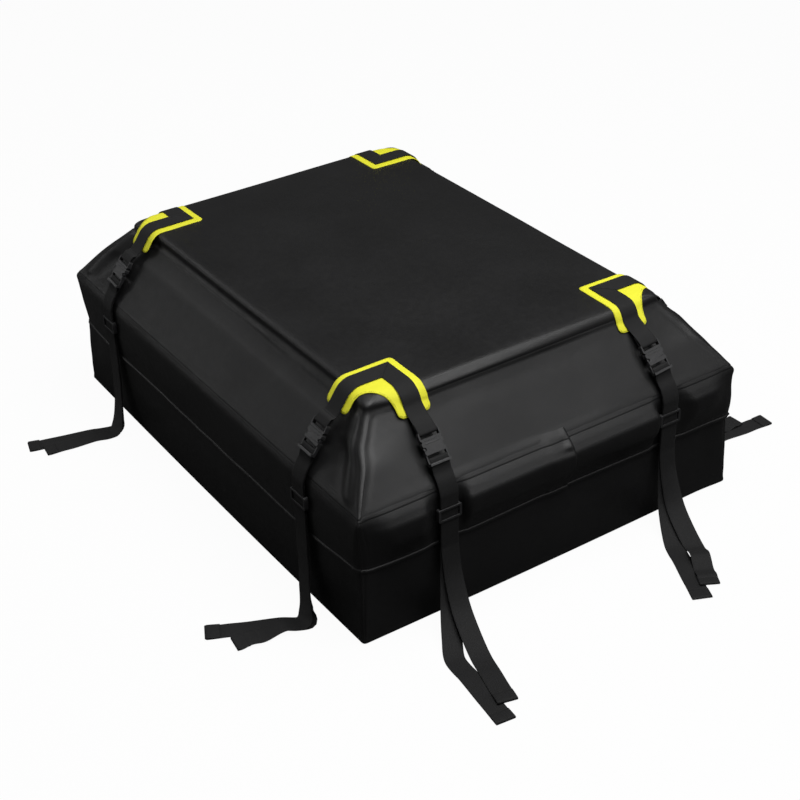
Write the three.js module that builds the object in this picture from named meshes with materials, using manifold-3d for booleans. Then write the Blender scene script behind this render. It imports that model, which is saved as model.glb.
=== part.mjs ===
// Roof cargo bag: a soft, flat-topped bag with sloping sides that lies on a car's roof.
// Millimetres, +Z up. The origin is the middle of the base, X runs across the short
// front side, Y along the long sides, and the front is at -Y.
import * as THREE from "three";
import { mergeVertices } from "three/addons/utils/BufferGeometryUtils.js";
import Module from "manifold-3d";

const wasm = await Module();
wasm.setup();

// Bag body
const bagWidth = 860;
const bagLength = 1140;
const shoulderHeight = 274;
const topHeight = 417.5;
const topWidth = 658;
const topLength = 898;
const crown = 5;
const panelDip = 1.6;
const cloth = 2.5;
const wallBow = 5;
const bowHeight = 96;
const wallCornerRadius = 32;
const shoulderCornerRadius = 13;
const topCornerRadius = 26;
const baseEdgeRadius = 12;
const turnInHeight = 16;
const shoulderLip = 8;
const slopeBulge = 1.5;
const railRadius = 11;
const railGroove = 5;
const grooveEdge = 26;
const grooveMiddle = 16;
const sideSteps = 4;
const cornerSteps = 4;

// Storm flap and zip
const flapBottom = 150;
const flapThickness = 2;
const flapStandOff = 5;
const flapTuck = 2;
const flapCurl = 30;
const flapSeamX = 20;
const flapOverlap = 40;
const zipHeight = 219;
const zipInset = 12;
const tapeHeight = 12;
const coilHeight = 6;
const coilDepth = 3.5;
const zipEndFromBack = 150;
const sliderLength = 13;
const sliderHeight = 12;
const sliderPlate = 1.6;
const sliderFlange = 2.6;
const bridgeWidth = 2.8;
const bridgeHeight = 6;
const bridgeReach = 4;
const bridgeHole = 2.1;
const bridgeWall = 1;
const pullLength = 26;
const pullWidth = 7;
const pullThickness = 1.4;
const pullBar = 1.5;

// Webbing and corner patches
const webWidth = 38;
const webThickness = 1.6;
const patchThickness = 1.2;
const patchBorder = 14;
const patchFillet = 60;
const patchDrop = 52;
const patchEndRounding = 7;
const endStrapInset = 79;
const sideStrapInset = 59;

// Side-release buckle, across the slope, along it and off it
const buckleFromShoulder = 38;
const buckleStandOff = 13;
const socketThickness = 10;
const socketBodyLength = 24;
const ladderLength = 20;
const railWidth = 2.4;
const barSize = 4.4;
const shellWall = 1.8;
const windowLength = 9;
const plugHeadLength = 17;
const plugHeadWidth = 45;
const prongWidth = 6;
const barbReach = 2.2;
const guideWidth = 7;

// Tri-glide and hanging webbing
const glideHeight = 222;
const glideWidth = 50;
const glideLength = 27;
const glideBar = 4.5;
const glideDepth = 2.2;
const strapStandOff = 4.6;
const layerPitch = 2.6;
const shoulderLift = 7.4;
const shoulderApproach = 24;
const straightTo = 150;
const hemLength = 24;
const hemThickness = 4.6;

// Clearance that touching pieces keep
const gap = 0.3;

const colours = {
  coatedCloth: { color: 0x1c1c1d, roughness: 0.5, metalness: 0 },
  flapCloth: { color: 0x18181a, roughness: 0.45, metalness: 0 },
  reflective: { color: 0xf4f42c, roughness: 0.6, metalness: 0 },
  webbing: { color: 0x141414, roughness: 0.85, metalness: 0 },
  acetal: { color: 0x242425, roughness: 0.38, metalness: 0 },
  zipCoil: { color: 0x101010, roughness: 0.5, metalness: 0 },
  zincSlider: { color: 0x5a5b5e, roughness: 0.35, metalness: 0.8 },
};

const bag = new THREE.Group();

function addMesh(parent, name, geometry, finish) {
  const mesh = new THREE.Mesh(geometry, new THREE.MeshStandardMaterial(colours[finish]));
  mesh.name = name;
  parent.add(mesh);
  return mesh;
}

// Solids and booleans.
function solidOf(geometry) {
  const bare = geometry.clone();
  bare.deleteAttribute("normal");
  bare.deleteAttribute("uv");
  const merged = mergeVertices(bare, 1e-4);
  return new wasm.Manifold(
    new wasm.Mesh({
      numProp: 3,
      vertProperties: new Float32Array(merged.attributes.position.array),
      triVerts: new Uint32Array(merged.index.array),
    }),
  );
}

function geometryOf(solid) {
  const mesh = solid.getMesh();
  const geometry = new THREE.BufferGeometry();
  geometry.setAttribute("position", new THREE.BufferAttribute(mesh.vertProperties, 3));
  geometry.setIndex(new THREE.BufferAttribute(mesh.triVerts, 1));
  return geometry;
}

function block(x0, x1, y0, y1, z0, z1) {
  const geometry = new THREE.BoxGeometry(x1 - x0, y1 - y0, z1 - z0);
  return geometry.translate((x0 + x1) / 2, (y0 + y1) / 2, (z0 + z1) / 2);
}

// A flat outline pulled up from z0 to z1.
function plate(points, z0, z1) {
  const shape = new THREE.Shape(points.map(([x, y]) => new THREE.Vector2(x, y)));
  const geometry = new THREE.ExtrudeGeometry(shape, { depth: z1 - z0, bevelEnabled: false });
  return geometry.translate(0, 0, z0);
}

function mirrored(points) {
  return points.concat(points.slice().reverse().map(([x, y]) => [-x, y]));
}

// Triangles that fill a flat closed loop of points, as indices into it.
function fillLoop(ring) {
  const normal = new THREE.Vector3();
  ring.forEach((p, i) => normal.add(p.clone().cross(ring[(i + 1) % ring.length])));
  normal.normalize();
  const level = Math.abs(normal.z) > 0.9;
  const across = level ? new THREE.Vector3(1, 0, 0) : new THREE.Vector3(-normal.y, normal.x, 0);
  across.addScaledVector(normal, -across.dot(normal)).normalize();
  const up = normal.clone().cross(across);
  const flat = ring.map((p) => new THREE.Vector2(p.dot(across), p.dot(up)));
  return THREE.ShapeUtils.triangulateShape(flat, []);
}

function volumeOf(positions, index) {
  const corner = (i) => new THREE.Vector3().fromArray(positions, index[i] * 3);
  let volume = 0;
  for (let i = 0; i < index.length; i += 3) {
    volume += corner(i).dot(corner(i + 1).cross(corner(i + 2))) / 6;
  }
  return volume;
}

// Skins a row of rings, each a closed loop with the same number of points, and fills
// the first and the last.
function loft(rings) {
  const count = rings[0].length;
  const positions = rings.flat().flatMap((p) => [p.x, p.y, p.z]);
  const index = [];
  for (let band = 0; band < rings.length - 1; band += 1) {
    const low = band * count;
    const high = low + count;
    for (let i = 0; i < count; i += 1) {
      const next = (i + 1) % count;
      index.push(low + i, low + next, high + next);
      index.push(low + i, high + next, high + i);
    }
  }
  const last = (rings.length - 1) * count;
  fillLoop(rings[0]).forEach(([a, b, c]) => index.push(a, c, b));
  fillLoop(rings.at(-1)).forEach(([a, b, c]) => index.push(last + a, last + b, last + c));
  const facingOut = volumeOf(positions, index) > 0 ? index : index.reverse();
  const geometry = new THREE.BufferGeometry();
  geometry.setAttribute("position", new THREE.Float32BufferAttribute(positions, 3));
  geometry.setIndex(facingOut);
  return geometry;
}

// Rings round the bag.
// A level is one outline round the bag: half sizes, corner radius, height, and how far
// the middles of the sides stand out.
const sides = [
  { normal: [0, -1], along: [1, 0] },
  { normal: [1, 0], along: [0, 1] },
  { normal: [0, 1], along: [-1, 0] },
  { normal: [-1, 0], along: [0, -1] },
];

function onSide(level, side, u, out = 0) {
  const { normal, along } = sides[side];
  const across = side % 2 === 0 ? level.halfY : level.halfX;
  const run = side % 2 === 0 ? level.halfX : level.halfY;
  const reach = across + out + (level.bow ?? 0) * (1 - u * u);
  const shift = u * (run - level.radius);
  const x = normal[0] * reach + along[0] * shift;
  const y = normal[1] * reach + along[1] * shift;
  return new THREE.Vector3(x, y, level.z);
}

function onCorner(level, side, share) {
  const from = sides[side].normal;
  const to = sides[side].along;
  const angle = (share * Math.PI) / 2;
  const nx = from[0] * Math.cos(angle) + to[0] * Math.sin(angle);
  const ny = from[1] * Math.cos(angle) + to[1] * Math.sin(angle);
  const centreX = (from[0] + to[0]) * (level.halfX - level.radius);
  const centreY = (from[1] + to[1]) * (level.halfY - level.radius);
  return new THREE.Vector3(centreX + nx * level.radius, centreY + ny * level.radius, level.z);
}

function sideStations(side, from = -1, to = 1, steps = sideSteps) {
  const places = Array.from({ length: steps + 1 }, (_, i) => from + ((to - from) * i) / steps);
  return places.map((u) => (level) => onSide(level, side, u));
}

function cornerStations(side) {
  const shares = Array.from({ length: cornerSteps - 1 }, (_, i) => (i + 1) / cornerSteps);
  return shares.map((share) => (level) => onCorner(level, side, share));
}

const allRound = sides.flatMap((_, side) => [...sideStations(side), ...cornerStations(side)]);

function nominal(inset, z, radius, bow = 0) {
  return { halfX: bagWidth / 2 - inset, halfY: bagLength / 2 - inset, radius, z, bow };
}

// A wall skinned from a closed row of levels at a run of stations round the bag.
function bandAlong(stations, levels) {
  return loft(stations.map((station) => levels.map((level) => station(level))));
}

function shellFrom(levels) {
  return loft(levels.map((level) => allRound.map((station) => station(level))));
}

// Base tub.
const tapeTop = zipHeight + tapeHeight / 2;
const tapeBottom = zipHeight - tapeHeight / 2;

function baseTub() {
  const r = wallCornerRadius;
  const edge = baseEdgeRadius;
  const rim = tapeBottom - gap;
  const turnIn = rim - turnInHeight;
  const outside = [
    nominal(edge, 0, r - edge / 2),
    nominal(edge * 0.3, edge * 0.3, r),
    nominal(0, edge, r, wallBow * 0.4),
    nominal(0, bowHeight, r, wallBow),
    nominal(flapTuck, flapBottom, r, wallBow * 0.6),
    nominal(zipInset, turnIn, r),
    nominal(zipInset, rim, r),
  ];
  const inside = [
    nominal(zipInset + cloth, rim, r - cloth),
    nominal(zipInset + cloth, turnIn, r - cloth),
    nominal(cloth + flapTuck, flapBottom, r - cloth, wallBow * 0.6),
    nominal(cloth, bowHeight, r - cloth, wallBow),
    nominal(cloth, edge + cloth, r - cloth, wallBow * 0.4),
    nominal(edge, cloth * 1.2, r - edge / 2),
  ];
  return shellFrom([...outside, ...inside]);
}

// Lid.
const slopeRise = topHeight - shoulderHeight;
const slopeEnd = 1 - grooveEdge / slopeRise;
const grooveAt = 1 - grooveMiddle / slopeRise;
const slopeMiddle = 0.45;

// A level part of the way up the slope, lifted off it by a height along Z.
function onSlope(share, radius, lift = 0, inset = 0) {
  const halfX = bagWidth / 2 + ((topWidth - bagWidth) / 2) * share - inset;
  const halfY = bagLength / 2 + ((topLength - bagLength) / 2) * share - inset;
  return { halfX, halfY, radius, z: shoulderHeight + slopeRise * share + lift };
}

// The level of a point round the rail's bead, measured from straight up.
function onRail(degrees) {
  const angle = THREE.MathUtils.degToRad(degrees);
  const inset = railRadius - railRadius * Math.sin(angle);
  const z = topHeight - railRadius + railRadius * Math.cos(angle);
  return { halfX: topWidth / 2 - inset, halfY: topLength / 2 - inset, radius: topCornerRadius, z };
}

function topPanel(share, drop = 0) {
  const inset = railRadius * 2;
  const halfX = (topWidth / 2 - inset) * share;
  const halfY = (topLength / 2 - inset) * share;
  const z = topHeight - panelDip - drop + crown * (1 - share * share);
  return { halfX, halfY, radius: topCornerRadius * share, z };
}

function lidShell() {
  const seam = shoulderHeight + gap;
  const low = tapeTop + gap;
  const under = wallCornerRadius;
  const ear = shoulderCornerRadius;
  const behindFlap = flapThickness + 2 * gap;
  const slopeWall = cloth * 1.5;
  const outside = [
    nominal(zipInset, low, under),
    nominal(zipInset, low + turnInHeight, under),
    nominal(behindFlap + gap, seam - shoulderLip, ear + 6),
    nominal(behindFlap, seam, ear + 2),
    nominal(0, seam + 1, ear),
    onSlope(slopeMiddle, ear + 3, slopeBulge),
    onSlope(slopeEnd, topCornerRadius - 6),
    onSlope(grooveAt, topCornerRadius - 4, -railGroove),
    ...[112, 90, 58, 27, 0].map(onRail),
    topPanel(1),
    topPanel(0.66),
    topPanel(0.3),
  ];
  const underGroove = railGroove + slopeWall;
  const inside = [
    topPanel(0.3, cloth),
    topPanel(0.66, cloth),
    topPanel(0.96, underGroove + cloth),
    onSlope(grooveAt, topCornerRadius - 8, -underGroove - 2),
    onSlope(slopeEnd, topCornerRadius - 10, -slopeWall - cloth),
    onSlope(slopeMiddle, ear, slopeBulge - slopeWall),
    onSlope(0, ear, -slopeWall, behindFlap),
    nominal(behindFlap + gap + cloth, seam - shoulderLip - slopeWall, ear + 4),
    nominal(zipInset + cloth, low + turnInHeight - cloth, under - cloth),
    nominal(zipInset + cloth, low, under - cloth),
  ];
  return shellFrom([...outside.reverse(), ...inside.reverse()]);
}

// Storm flap.
// The flap starts at the shoulder seam, runs once round the bag and ends over its own start.
function stormFlap() {
  const r = wallCornerRadius;
  const top = shoulderHeight - gap / 2;
  const inner = flapThickness - flapStandOff;
  const curl = top - flapCurl;
  const curlMiddle = top - flapCurl * 0.4;
  const curlOut = flapStandOff * 0.7;
  const curlMiddleRadius = shoulderCornerRadius + 8;
  const curlRadius = r - 6;
  const section = [
    nominal(0, top, shoulderCornerRadius),
    nominal(-curlOut, curlMiddle, curlMiddleRadius),
    nominal(-flapStandOff, curl, curlRadius),
    nominal(-flapStandOff, flapBottom + 3, r),
    nominal(-flapStandOff - 0.8, flapBottom, r),
    nominal(inner, flapBottom, r - flapThickness),
    nominal(inner, curl, curlRadius - flapThickness),
    nominal(flapThickness - curlOut, curlMiddle, curlMiddleRadius - flapThickness),
    nominal(flapThickness, top - 1, shoulderCornerRadius),
  ];
  const straight = bagWidth / 2 - r;
  const under = (flapSeamX - flapOverlap) / straight;
  const over = flapSeamX / straight;
  const lifted = flapThickness + gap + 0.2;
  const raised = [
    [under - 0.06, 0],
    [under - 0.01, lifted],
    [over - 0.02, lifted + 1.2],
    [over, lifted],
  ];
  const stations = [
    ...sideStations(0, under, 1, 3),
    ...cornerStations(0),
    ...[1, 2].flatMap((side) => [...sideStations(side, -1, 1, 2), ...cornerStations(side)]),
    ...sideStations(3, -1, 1, 2),
    ...cornerStations(3),
    (level) => onSide(level, 0, -1),
    ...raised.map(([u, out]) => (level) => onSide(level, 0, u, out)),
  ];
  return bandAlong(stations, section);
}

// Zip.
const zipEndU = 1 - zipEndFromBack / (bagLength / 2 - wallCornerRadius);

// Tape between the two halves of the bag, with the coil as a bead along its middle.
function zipChain() {
  const r = wallCornerRadius;
  const bead = zipInset - coilDepth;
  const section = [
    nominal(zipInset + cloth, tapeTop, r - cloth),
    nominal(zipInset + cloth, tapeBottom, r - cloth),
    nominal(zipInset, tapeBottom, r),
    nominal(zipInset, zipHeight - coilHeight / 2, r),
    nominal(bead, zipHeight - coilHeight / 2 + 1, r),
    nominal(bead, zipHeight + coilHeight / 2 - 1, r),
    nominal(zipInset, zipHeight + coilHeight / 2, r),
    nominal(zipInset, tapeTop, r),
  ];
  const stations = [
    ...sideStations(3, -zipEndU, 1, 1),
    ...cornerStations(3),
    ...sideStations(0, -1, 1, 1),
    ...cornerStations(0),
    ...sideStations(1, -1, zipEndU, 1),
  ];
  return bandAlong(stations, section);
}

// The strip of cloth that joins lid and tub across the back, where the zip doesn't run.
function backStrip() {
  const r = wallCornerRadius;
  const section = [
    nominal(zipInset + cloth, tapeTop, r - cloth),
    nominal(zipInset + cloth, tapeBottom, r - cloth),
    nominal(zipInset, tapeBottom, r),
    nominal(zipInset, tapeTop, r),
  ];
  const start = zipEndU + gap / (bagLength / 2 - wallCornerRadius);
  const stations = [
    ...sideStations(1, start, 1, 1),
    ...cornerStations(1),
    ...sideStations(2, -1, 1, 1),
    ...cornerStations(2),
    ...sideStations(3, -1, -start, 1),
  ];
  return bandAlong(stations, section);
}

const coilFront = -(bagLength / 2 - zipInset + coilDepth);
const pullAxisY = coilFront - gap - sliderPlate - bridgeReach + bridgeWall + bridgeHole / 2;

// A slider straddles the coil. Its bridge carries the pull.
function zipSlider(hand) {
  const half = sliderLength / 2;
  const halfHeight = sliderHeight / 2;
  const front = coilFront - gap;
  const lip = coilHeight / 2 + 2 * gap;
  const outline = [[half, -halfHeight], [half, halfHeight - 2], [half - 3, halfHeight + 0.5]];
  const face = plate(mirrored(outline), 0, sliderPlate);
  face.rotateX(Math.PI / 2).translate(0, front, zipHeight);
  let solid = solidOf(face);
  for (const upDown of [-1, 1]) {
    const inner = zipHeight + upDown * lip;
    const outer = zipHeight + upDown * halfHeight;
    const z = [Math.min(inner, outer), Math.max(inner, outer)];
    const flange = block(-half + 1, half - 1, front - 0.2, front + sliderFlange, ...z);
    solid = solid.add(solidOf(flange));
  }
  const face0 = front - sliderPlate;
  const reach = face0 - bridgeReach;
  const halfBridge = bridgeWidth / 2;
  const bridgeLow = zipHeight - bridgeHeight / 2;
  const bridgeTop = zipHeight + bridgeHeight / 2;
  const bridge = block(-halfBridge, halfBridge, reach, face0 + 0.2, bridgeLow, bridgeTop);
  const holeY = reach + bridgeWall;
  const holeZ = [bridgeLow + bridgeWall + 0.4, bridgeTop - bridgeWall - 0.4];
  const hole = block(-bridgeWidth, bridgeWidth, holeY, holeY + bridgeHole, ...holeZ);
  solid = solid.add(solidOf(bridge)).subtract(solidOf(hole));
  return geometryOf(solid).translate(hand * (half + gap), 0, 0);
}

// The pull hangs from the bridge by the bar above its eye.
function zipPull(hand) {
  const half = pullWidth / 2;
  const depth = pullThickness / 2;
  const bar = pullBar / 2;
  const eyeHalf = bridgeWidth / 2 + 0.5;
  const eyeLow = -bar - bridgeHeight / 2 - 1.6;
  const outline = [
    [half - 0.4, bar],
    [half - 0.4, eyeLow - 2.6],
    [half, eyeLow - 5.6],
    [half, 3 - pullLength],
    [half - 1.5, 1 - pullLength],
  ];
  const leaf = plate(mirrored(outline), -depth, depth).rotateX(Math.PI / 2);
  const eye = block(-eyeHalf, eyeHalf, -depth - 1, depth + 1, eyeLow, -bar);
  const solid = solidOf(leaf).subtract(solidOf(eye));
  return geometryOf(solid).translate(hand * (sliderLength / 2 + gap), pullAxisY, zipHeight);
}

// Ribbons of webbing.
// A station is a point on the middle line, the direction across the ribbon, and the
// ribbon's width and thickness there.
function ribbon(stations) {
  const rings = stations.map((station, i) => {
    const before = stations[Math.max(i - 1, 0)].at;
    const after = stations[Math.min(i + 1, stations.length - 1)].at;
    const along = after.clone().sub(before).normalize();
    const across = station.across;
    const face = across.clone().cross(along).normalize();
    const w = (station.width ?? webWidth) / 2;
    const t = (station.thickness ?? webThickness) / 2;
    const corners = [[-w, -t], [w, -t], [w, t], [-w, t]];
    return corners.map(([a, b]) =>
      station.at.clone().addScaledVector(across, a).addScaledVector(face, b));
  });
  return loft(rings);
}

function smooth(points, steps) {
  return new THREE.CatmullRomCurve3(points, false, "centripetal").getPoints(steps);
}

// Points round part of a circle in a plane across X, from one angle to another.
function turn(centreY, centreZ, radius, fromDegrees, toDegrees, steps) {
  return Array.from({ length: steps + 1 }, (_, i) => {
    const degrees = fromDegrees + ((toDegrees - fromDegrees) * i) / steps;
    const angle = THREE.MathUtils.degToRad(degrees);
    return new THREE.Vector3(0, centreY + radius * Math.cos(angle), centreZ + radius * Math.sin(angle));
  });
}

// Where the straps lie.
// Each side has a frame with X along the side, -Y out of it and Z up, whose origin is
// under the shoulder. On the slope, X stays, Y runs up the slope and Z stands off it.
const endStrapX = topWidth / 2 - endStrapInset;
const sideStrapY = topLength / 2 - sideStrapInset;
const sideTurn = [0, Math.PI / 2, Math.PI, -Math.PI / 2];
const halfAcross = [bagLength / 2, bagWidth / 2, bagLength / 2, bagWidth / 2];
const topHalf = [topLength / 2, topWidth / 2, topLength / 2, topWidth / 2];

function slopeOf(side) {
  const run = halfAcross[side] - topHalf[side];
  return { angle: Math.atan2(slopeRise, run), length: Math.hypot(slopeRise, run) };
}

// lean is how far the strap has moved sideways by the time it reaches the shoulder.
// A tail reaches the ground at landing, off to one side by drift, and then lies at
// heading, in degrees. The first value of each pair is for the hemmed layer behind, the
// second for the cut layer in front, and lie is how far out each one ends.
const frontTails = [
  { drift: [-53, -26], landing: [72, 112], heading: [-11, -13], lie: [300, 266] },
  { drift: [-24, -34], landing: [84, 104], heading: [-30, -24], lie: [256, 236] },
];
const sideTails = [
  { drift: [60, 72], landing: [46, 60], heading: [-14, 3], lie: [238, 212] },
  { drift: [72, 66], landing: [40, 54], heading: [-26, -6], lie: [216, 190] },
  { drift: [-62, -46], landing: [56, 72], heading: [-4, 2], lie: [238, 182] },
];
const straps = [
  { name: "front_left", side: 0, x: -endStrapX, lean: 0, tail: frontTails[0] },
  { name: "front_right", side: 0, x: endStrapX, lean: 14, tail: frontTails[1] },
  { name: "right_front", side: 1, x: -sideStrapY, lean: 0, tail: sideTails[2] },
  { name: "right_back", side: 1, x: sideStrapY, lean: 0, tail: sideTails[1] },
  { name: "back_right", side: 2, x: -endStrapX, lean: 0, tail: frontTails[0] },
  { name: "back_left", side: 2, x: endStrapX, lean: 0, tail: frontTails[1] },
  { name: "left_back", side: 3, x: -sideStrapY, lean: -8, tail: sideTails[0] },
  { name: "left_front", side: 3, x: sideStrapY, lean: 0, tail: sideTails[1] },
];

// Groups for one strap: its side, and its stretch of slope with the strap's lean.
function strapFrames(strap) {
  const side = new THREE.Group();
  side.rotation.z = sideTurn[strap.side];
  const wall = new THREE.Group();
  wall.position.set(strap.x, -halfAcross[strap.side], 0);
  const slope = new THREE.Group();
  slope.position.z = shoulderHeight;
  slope.rotation.x = slopeOf(strap.side).angle;
  const { length } = slopeOf(strap.side);
  const hang = new THREE.Group();
  hang.position.y = length;
  hang.rotation.z = Math.asin(strap.lean / length);
  const buckle = new THREE.Group();
  buckle.position.y = -length;
  bag.add(side);
  side.add(wall);
  wall.add(slope);
  slope.add(hang);
  hang.add(buckle);
  bag.updateMatrixWorld(true);
  return { wall, slope, buckle };
}

// Side-release buckle.
// Along the slope: a lip and a bar that hold the strap, the socket's body, and the plug's
// head with a bar for the webbing that comes down from the corner.
const ladderBar = buckleFromShoulder + 10.5;
const bodyLow = buckleFromShoulder + ladderLength;
const mouth = bodyLow + socketBodyLength;
const headTop = mouth + gap + plugHeadLength;
const plugBar = headTop - barSize / 2 - 0.6;
const socketHalf = webWidth / 2 + 0.5 + railWidth;
const middle = buckleStandOff;
const cavity = socketThickness / 2 - shellWall;

function across(y, z, radius, halfLength) {
  const bar = new THREE.CylinderGeometry(radius, radius, 2 * halfLength, 8);
  return solidOf(bar.rotateZ(Math.PI / 2).translate(0, y, z));
}

function socket() {
  const half = socketThickness / 2;
  const outline = mirrored([
    [socketHalf - 1.5, bodyLow],
    [socketHalf, bodyLow + 4],
    [socketHalf, mouth - 3],
    [socketHalf - 2.5, mouth],
  ]);
  let solid = solidOf(plate(outline, middle - half, middle + half));
  const inner = socketHalf - shellWall;
  const room = block(-inner, inner, bodyLow + 3, mouth + 1, middle - cavity, middle + cavity);
  solid = solid.subtract(solidOf(room));
  for (const hand of [-1, 1]) {
    const notch = new THREE.CylinderGeometry(7, 7, socketThickness + 2, 14);
    notch.rotateX(Math.PI / 2).scale(1, windowLength / 14, 1);
    notch.translate(hand * (socketHalf + 1), (bodyLow + mouth) / 2 - 1, middle);
    solid = solid.subtract(solidOf(notch));
    const inside = hand * (socketHalf - railWidth);
    const outside = hand * socketHalf;
    const x = [Math.min(inside, outside), Math.max(inside, outside)];
    const rail = block(...x, buckleFromShoulder, bodyLow + 4, middle - 3, middle + 3);
    const riser = block(...x, buckleFromShoulder, buckleFromShoulder + 5, middle - 2, middle + 8);
    solid = solid.add(solidOf(rail)).add(solidOf(riser));
  }
  const lip = [
    [buckleFromShoulder, middle + 5],
    [buckleFromShoulder + 4, middle + 4.6],
    [buckleFromShoulder + 4.6, middle + 7],
    [buckleFromShoulder + 3, middle + 8],
    [buckleFromShoulder, middle + 8],
  ];
  const lipBar = plate(lip, -socketHalf + 0.5, socketHalf - 0.5);
  lipBar.applyMatrix4(new THREE.Matrix4().set(0, 0, 1, 0, 1, 0, 0, 0, 0, 1, 0, 0, 0, 0, 0, 1));
  solid = solid.add(solidOf(lipBar)).add(across(ladderBar, middle, barSize / 2, socketHalf - 1));
  const ridge = block(-14, 14, mouth - 5, mouth - 3.6, middle + half - 0.5, middle + half + 0.8);
  return geometryOf(solid.add(solidOf(ridge)));
}

function plug() {
  const low = mouth + gap;
  const headHalf = plugHeadWidth / 2;
  const head = mirrored([
    [headHalf - 3, low],
    [headHalf, low + 3],
    [headHalf - 0.5, headTop - 3],
    [headHalf - 2, headTop],
  ]);
  const half = socketThickness / 2 - 0.6;
  let solid = solidOf(plate(head, middle - half, middle + half));
  const slotHalf = webWidth / 2 + 0.5;
  const slot = block(-slotHalf, slotHalf, low + 5, headTop + 1, middle - 6, middle + 6);
  solid = solid.subtract(solidOf(slot)).add(across(plugBar, middle, barSize / 2, headHalf - 1.5));
  const depth = cavity - gap - 0.4;
  const reach = bodyLow + 3.6;
  const guideHalf = guideWidth / 2;
  const guide = [
    [guideHalf, low + 1],
    [guideHalf, reach + 2],
    [guideHalf - 1.5, reach],
  ];
  solid = solid.add(solidOf(plate(mirrored(guide), middle - depth, middle + depth)));
  const window = (bodyLow + mouth) / 2 - 1;
  const inner = socketHalf - shellWall;
  const arm = inner - 1.2;
  for (const hand of [-1, 1]) {
    const prong = [
      [arm - prongWidth, low + 1],
      [arm, low + 1],
      [arm - 0.6, window + 3.6],
      [arm + barbReach, window + 2.8],
      [arm + barbReach, window - 0.5],
      [arm - 1.4, reach],
      [arm - 4.6, reach + 0.6],
      [arm - 4.4, window + 2],
    ].map(([x, y]) => [hand * x, y]);
    solid = solid.add(solidOf(plate(prong, middle - depth, middle + depth)));
  }
  return geometryOf(solid);
}

// Tri-glide.
// Its two end bars pass in front of both layers of webbing and its middle bar behind them.
const flapFace = flapStandOff;
const rearOut = flapFace + strapStandOff;
const frontOut = rearOut + layerPitch;

function triGlide() {
  const halfX = glideWidth / 2;
  const halfZ = glideLength / 2;
  const slotX = webWidth / 2 + 0.6;
  const slotZ = halfZ - glideBar;
  const back = rearOut - webThickness / 2 - gap - glideDepth;
  const front = frontOut + webThickness / 2 + gap;
  const corner = 4;
  const shape = new THREE.Shape();
  shape.moveTo(-halfX + corner, -halfZ);
  shape.lineTo(halfX - corner, -halfZ);
  shape.quadraticCurveTo(halfX, -halfZ, halfX, -halfZ + corner);
  shape.lineTo(halfX, halfZ - corner);
  shape.quadraticCurveTo(halfX, halfZ, halfX - corner, halfZ);
  shape.lineTo(-halfX + corner, halfZ);
  shape.quadraticCurveTo(-halfX, halfZ, -halfX, halfZ - corner);
  shape.lineTo(-halfX, -halfZ + corner);
  shape.quadraticCurveTo(-halfX, -halfZ, -halfX + corner, -halfZ);
  const slot = [[-slotX, -slotZ], [-slotX, slotZ], [slotX, slotZ], [slotX, -slotZ]];
  shape.holes.push(new THREE.Path(slot.map(([x, y]) => new THREE.Vector2(x, y))));
  const depth = front + glideDepth - back;
  const options = { depth, bevelEnabled: false, curveSegments: 2 };
  const frame = new THREE.ExtrudeGeometry(shape, options).rotateX(Math.PI / 2);
  let solid = solidOf(frame.translate(0, -back, 0));
  for (const end of [-1, 1]) {
    const low = end > 0 ? slotZ - 1 : -halfZ - 1;
    const cut = block(-slotX, slotX, -front, -back + 1, low, low + glideBar + 2);
    solid = solid.subtract(solidOf(cut));
  }
  const bar = block(-slotX - 1, slotX + 1, -back - glideDepth, -back, -glideBar / 2, glideBar / 2);
  return geometryOf(solid.add(solidOf(bar)));
}

// Strap webbing.
// One length of webbing: from its hem on the ground, up the wall behind, over the
// shoulder, round the socket's bar, and down again in front to its cut end.
function tailPoints(tail, layer, x) {
  const out = layer === 0 ? rearOut : frontOut;
  const drift = tail.drift[layer];
  const reach = tail.landing[layer] - out;
  const height = webThickness / 2 + 0.2 + layer * (webThickness + 0.8);
  const bend = (share, z) => new THREE.Vector3(x + drift * share, -out - reach * share, z);
  const heading = THREE.MathUtils.degToRad(tail.heading[layer]);
  const rest = tail.lie[layer] - tail.landing[layer];
  const lying = (share) => {
    const shift = drift + rest * share * Math.tan(heading);
    return new THREE.Vector3(x + shift, -tail.landing[layer] - rest * share, height);
  };
  const hem = (hemThickness - webThickness) / 2 * (layer === 0 ? 1 : 0);
  const end = lying(1);
  end.z += hem;
  return [
    bend(0, straightTo),
    bend(0.1, straightTo * 0.68),
    bend(0.36, straightTo * 0.32),
    bend(0.74, straightTo * 0.08 + height),
    lying(0.04),
    lying(0.3),
    lying(0.65),
    end,
  ];
}

function tailStations(tail, layer, x) {
  const points = smooth(tailPoints(tail, layer, x), 10);
  const heading = THREE.MathUtils.degToRad(tail.heading[layer]);
  const stations = points.map((at) => {
    const share = THREE.MathUtils.smoothstep(straightTo - at.z, straightTo * 0.2, straightTo);
    const angle = heading * share;
    return { at, across: new THREE.Vector3(Math.cos(angle), Math.sin(angle), 0) };
  });
  if (layer === 0) {
    const last = stations.at(-1);
    const before = stations.at(-2);
    const along = before.at.clone().sub(last.at);
    const start = last.at.clone().addScaledVector(along, hemLength / along.length());
    stations.splice(-1, 0,
      { at: start.clone().addScaledVector(along, 0.02), across: last.across },
      { at: start.setZ(last.at.z), across: last.across, thickness: hemThickness });
    last.thickness = hemThickness;
  }
  return stations;
}

// The direction across a strap's buckle, in another of its frames.
function acrossBuckle(frames, frame) {
  const start = frame.worldToLocal(frames.buckle.localToWorld(new THREE.Vector3()));
  const end = frame.worldToLocal(frames.buckle.localToWorld(new THREE.Vector3(1, 0, 0)));
  return end.sub(start);
}

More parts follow.
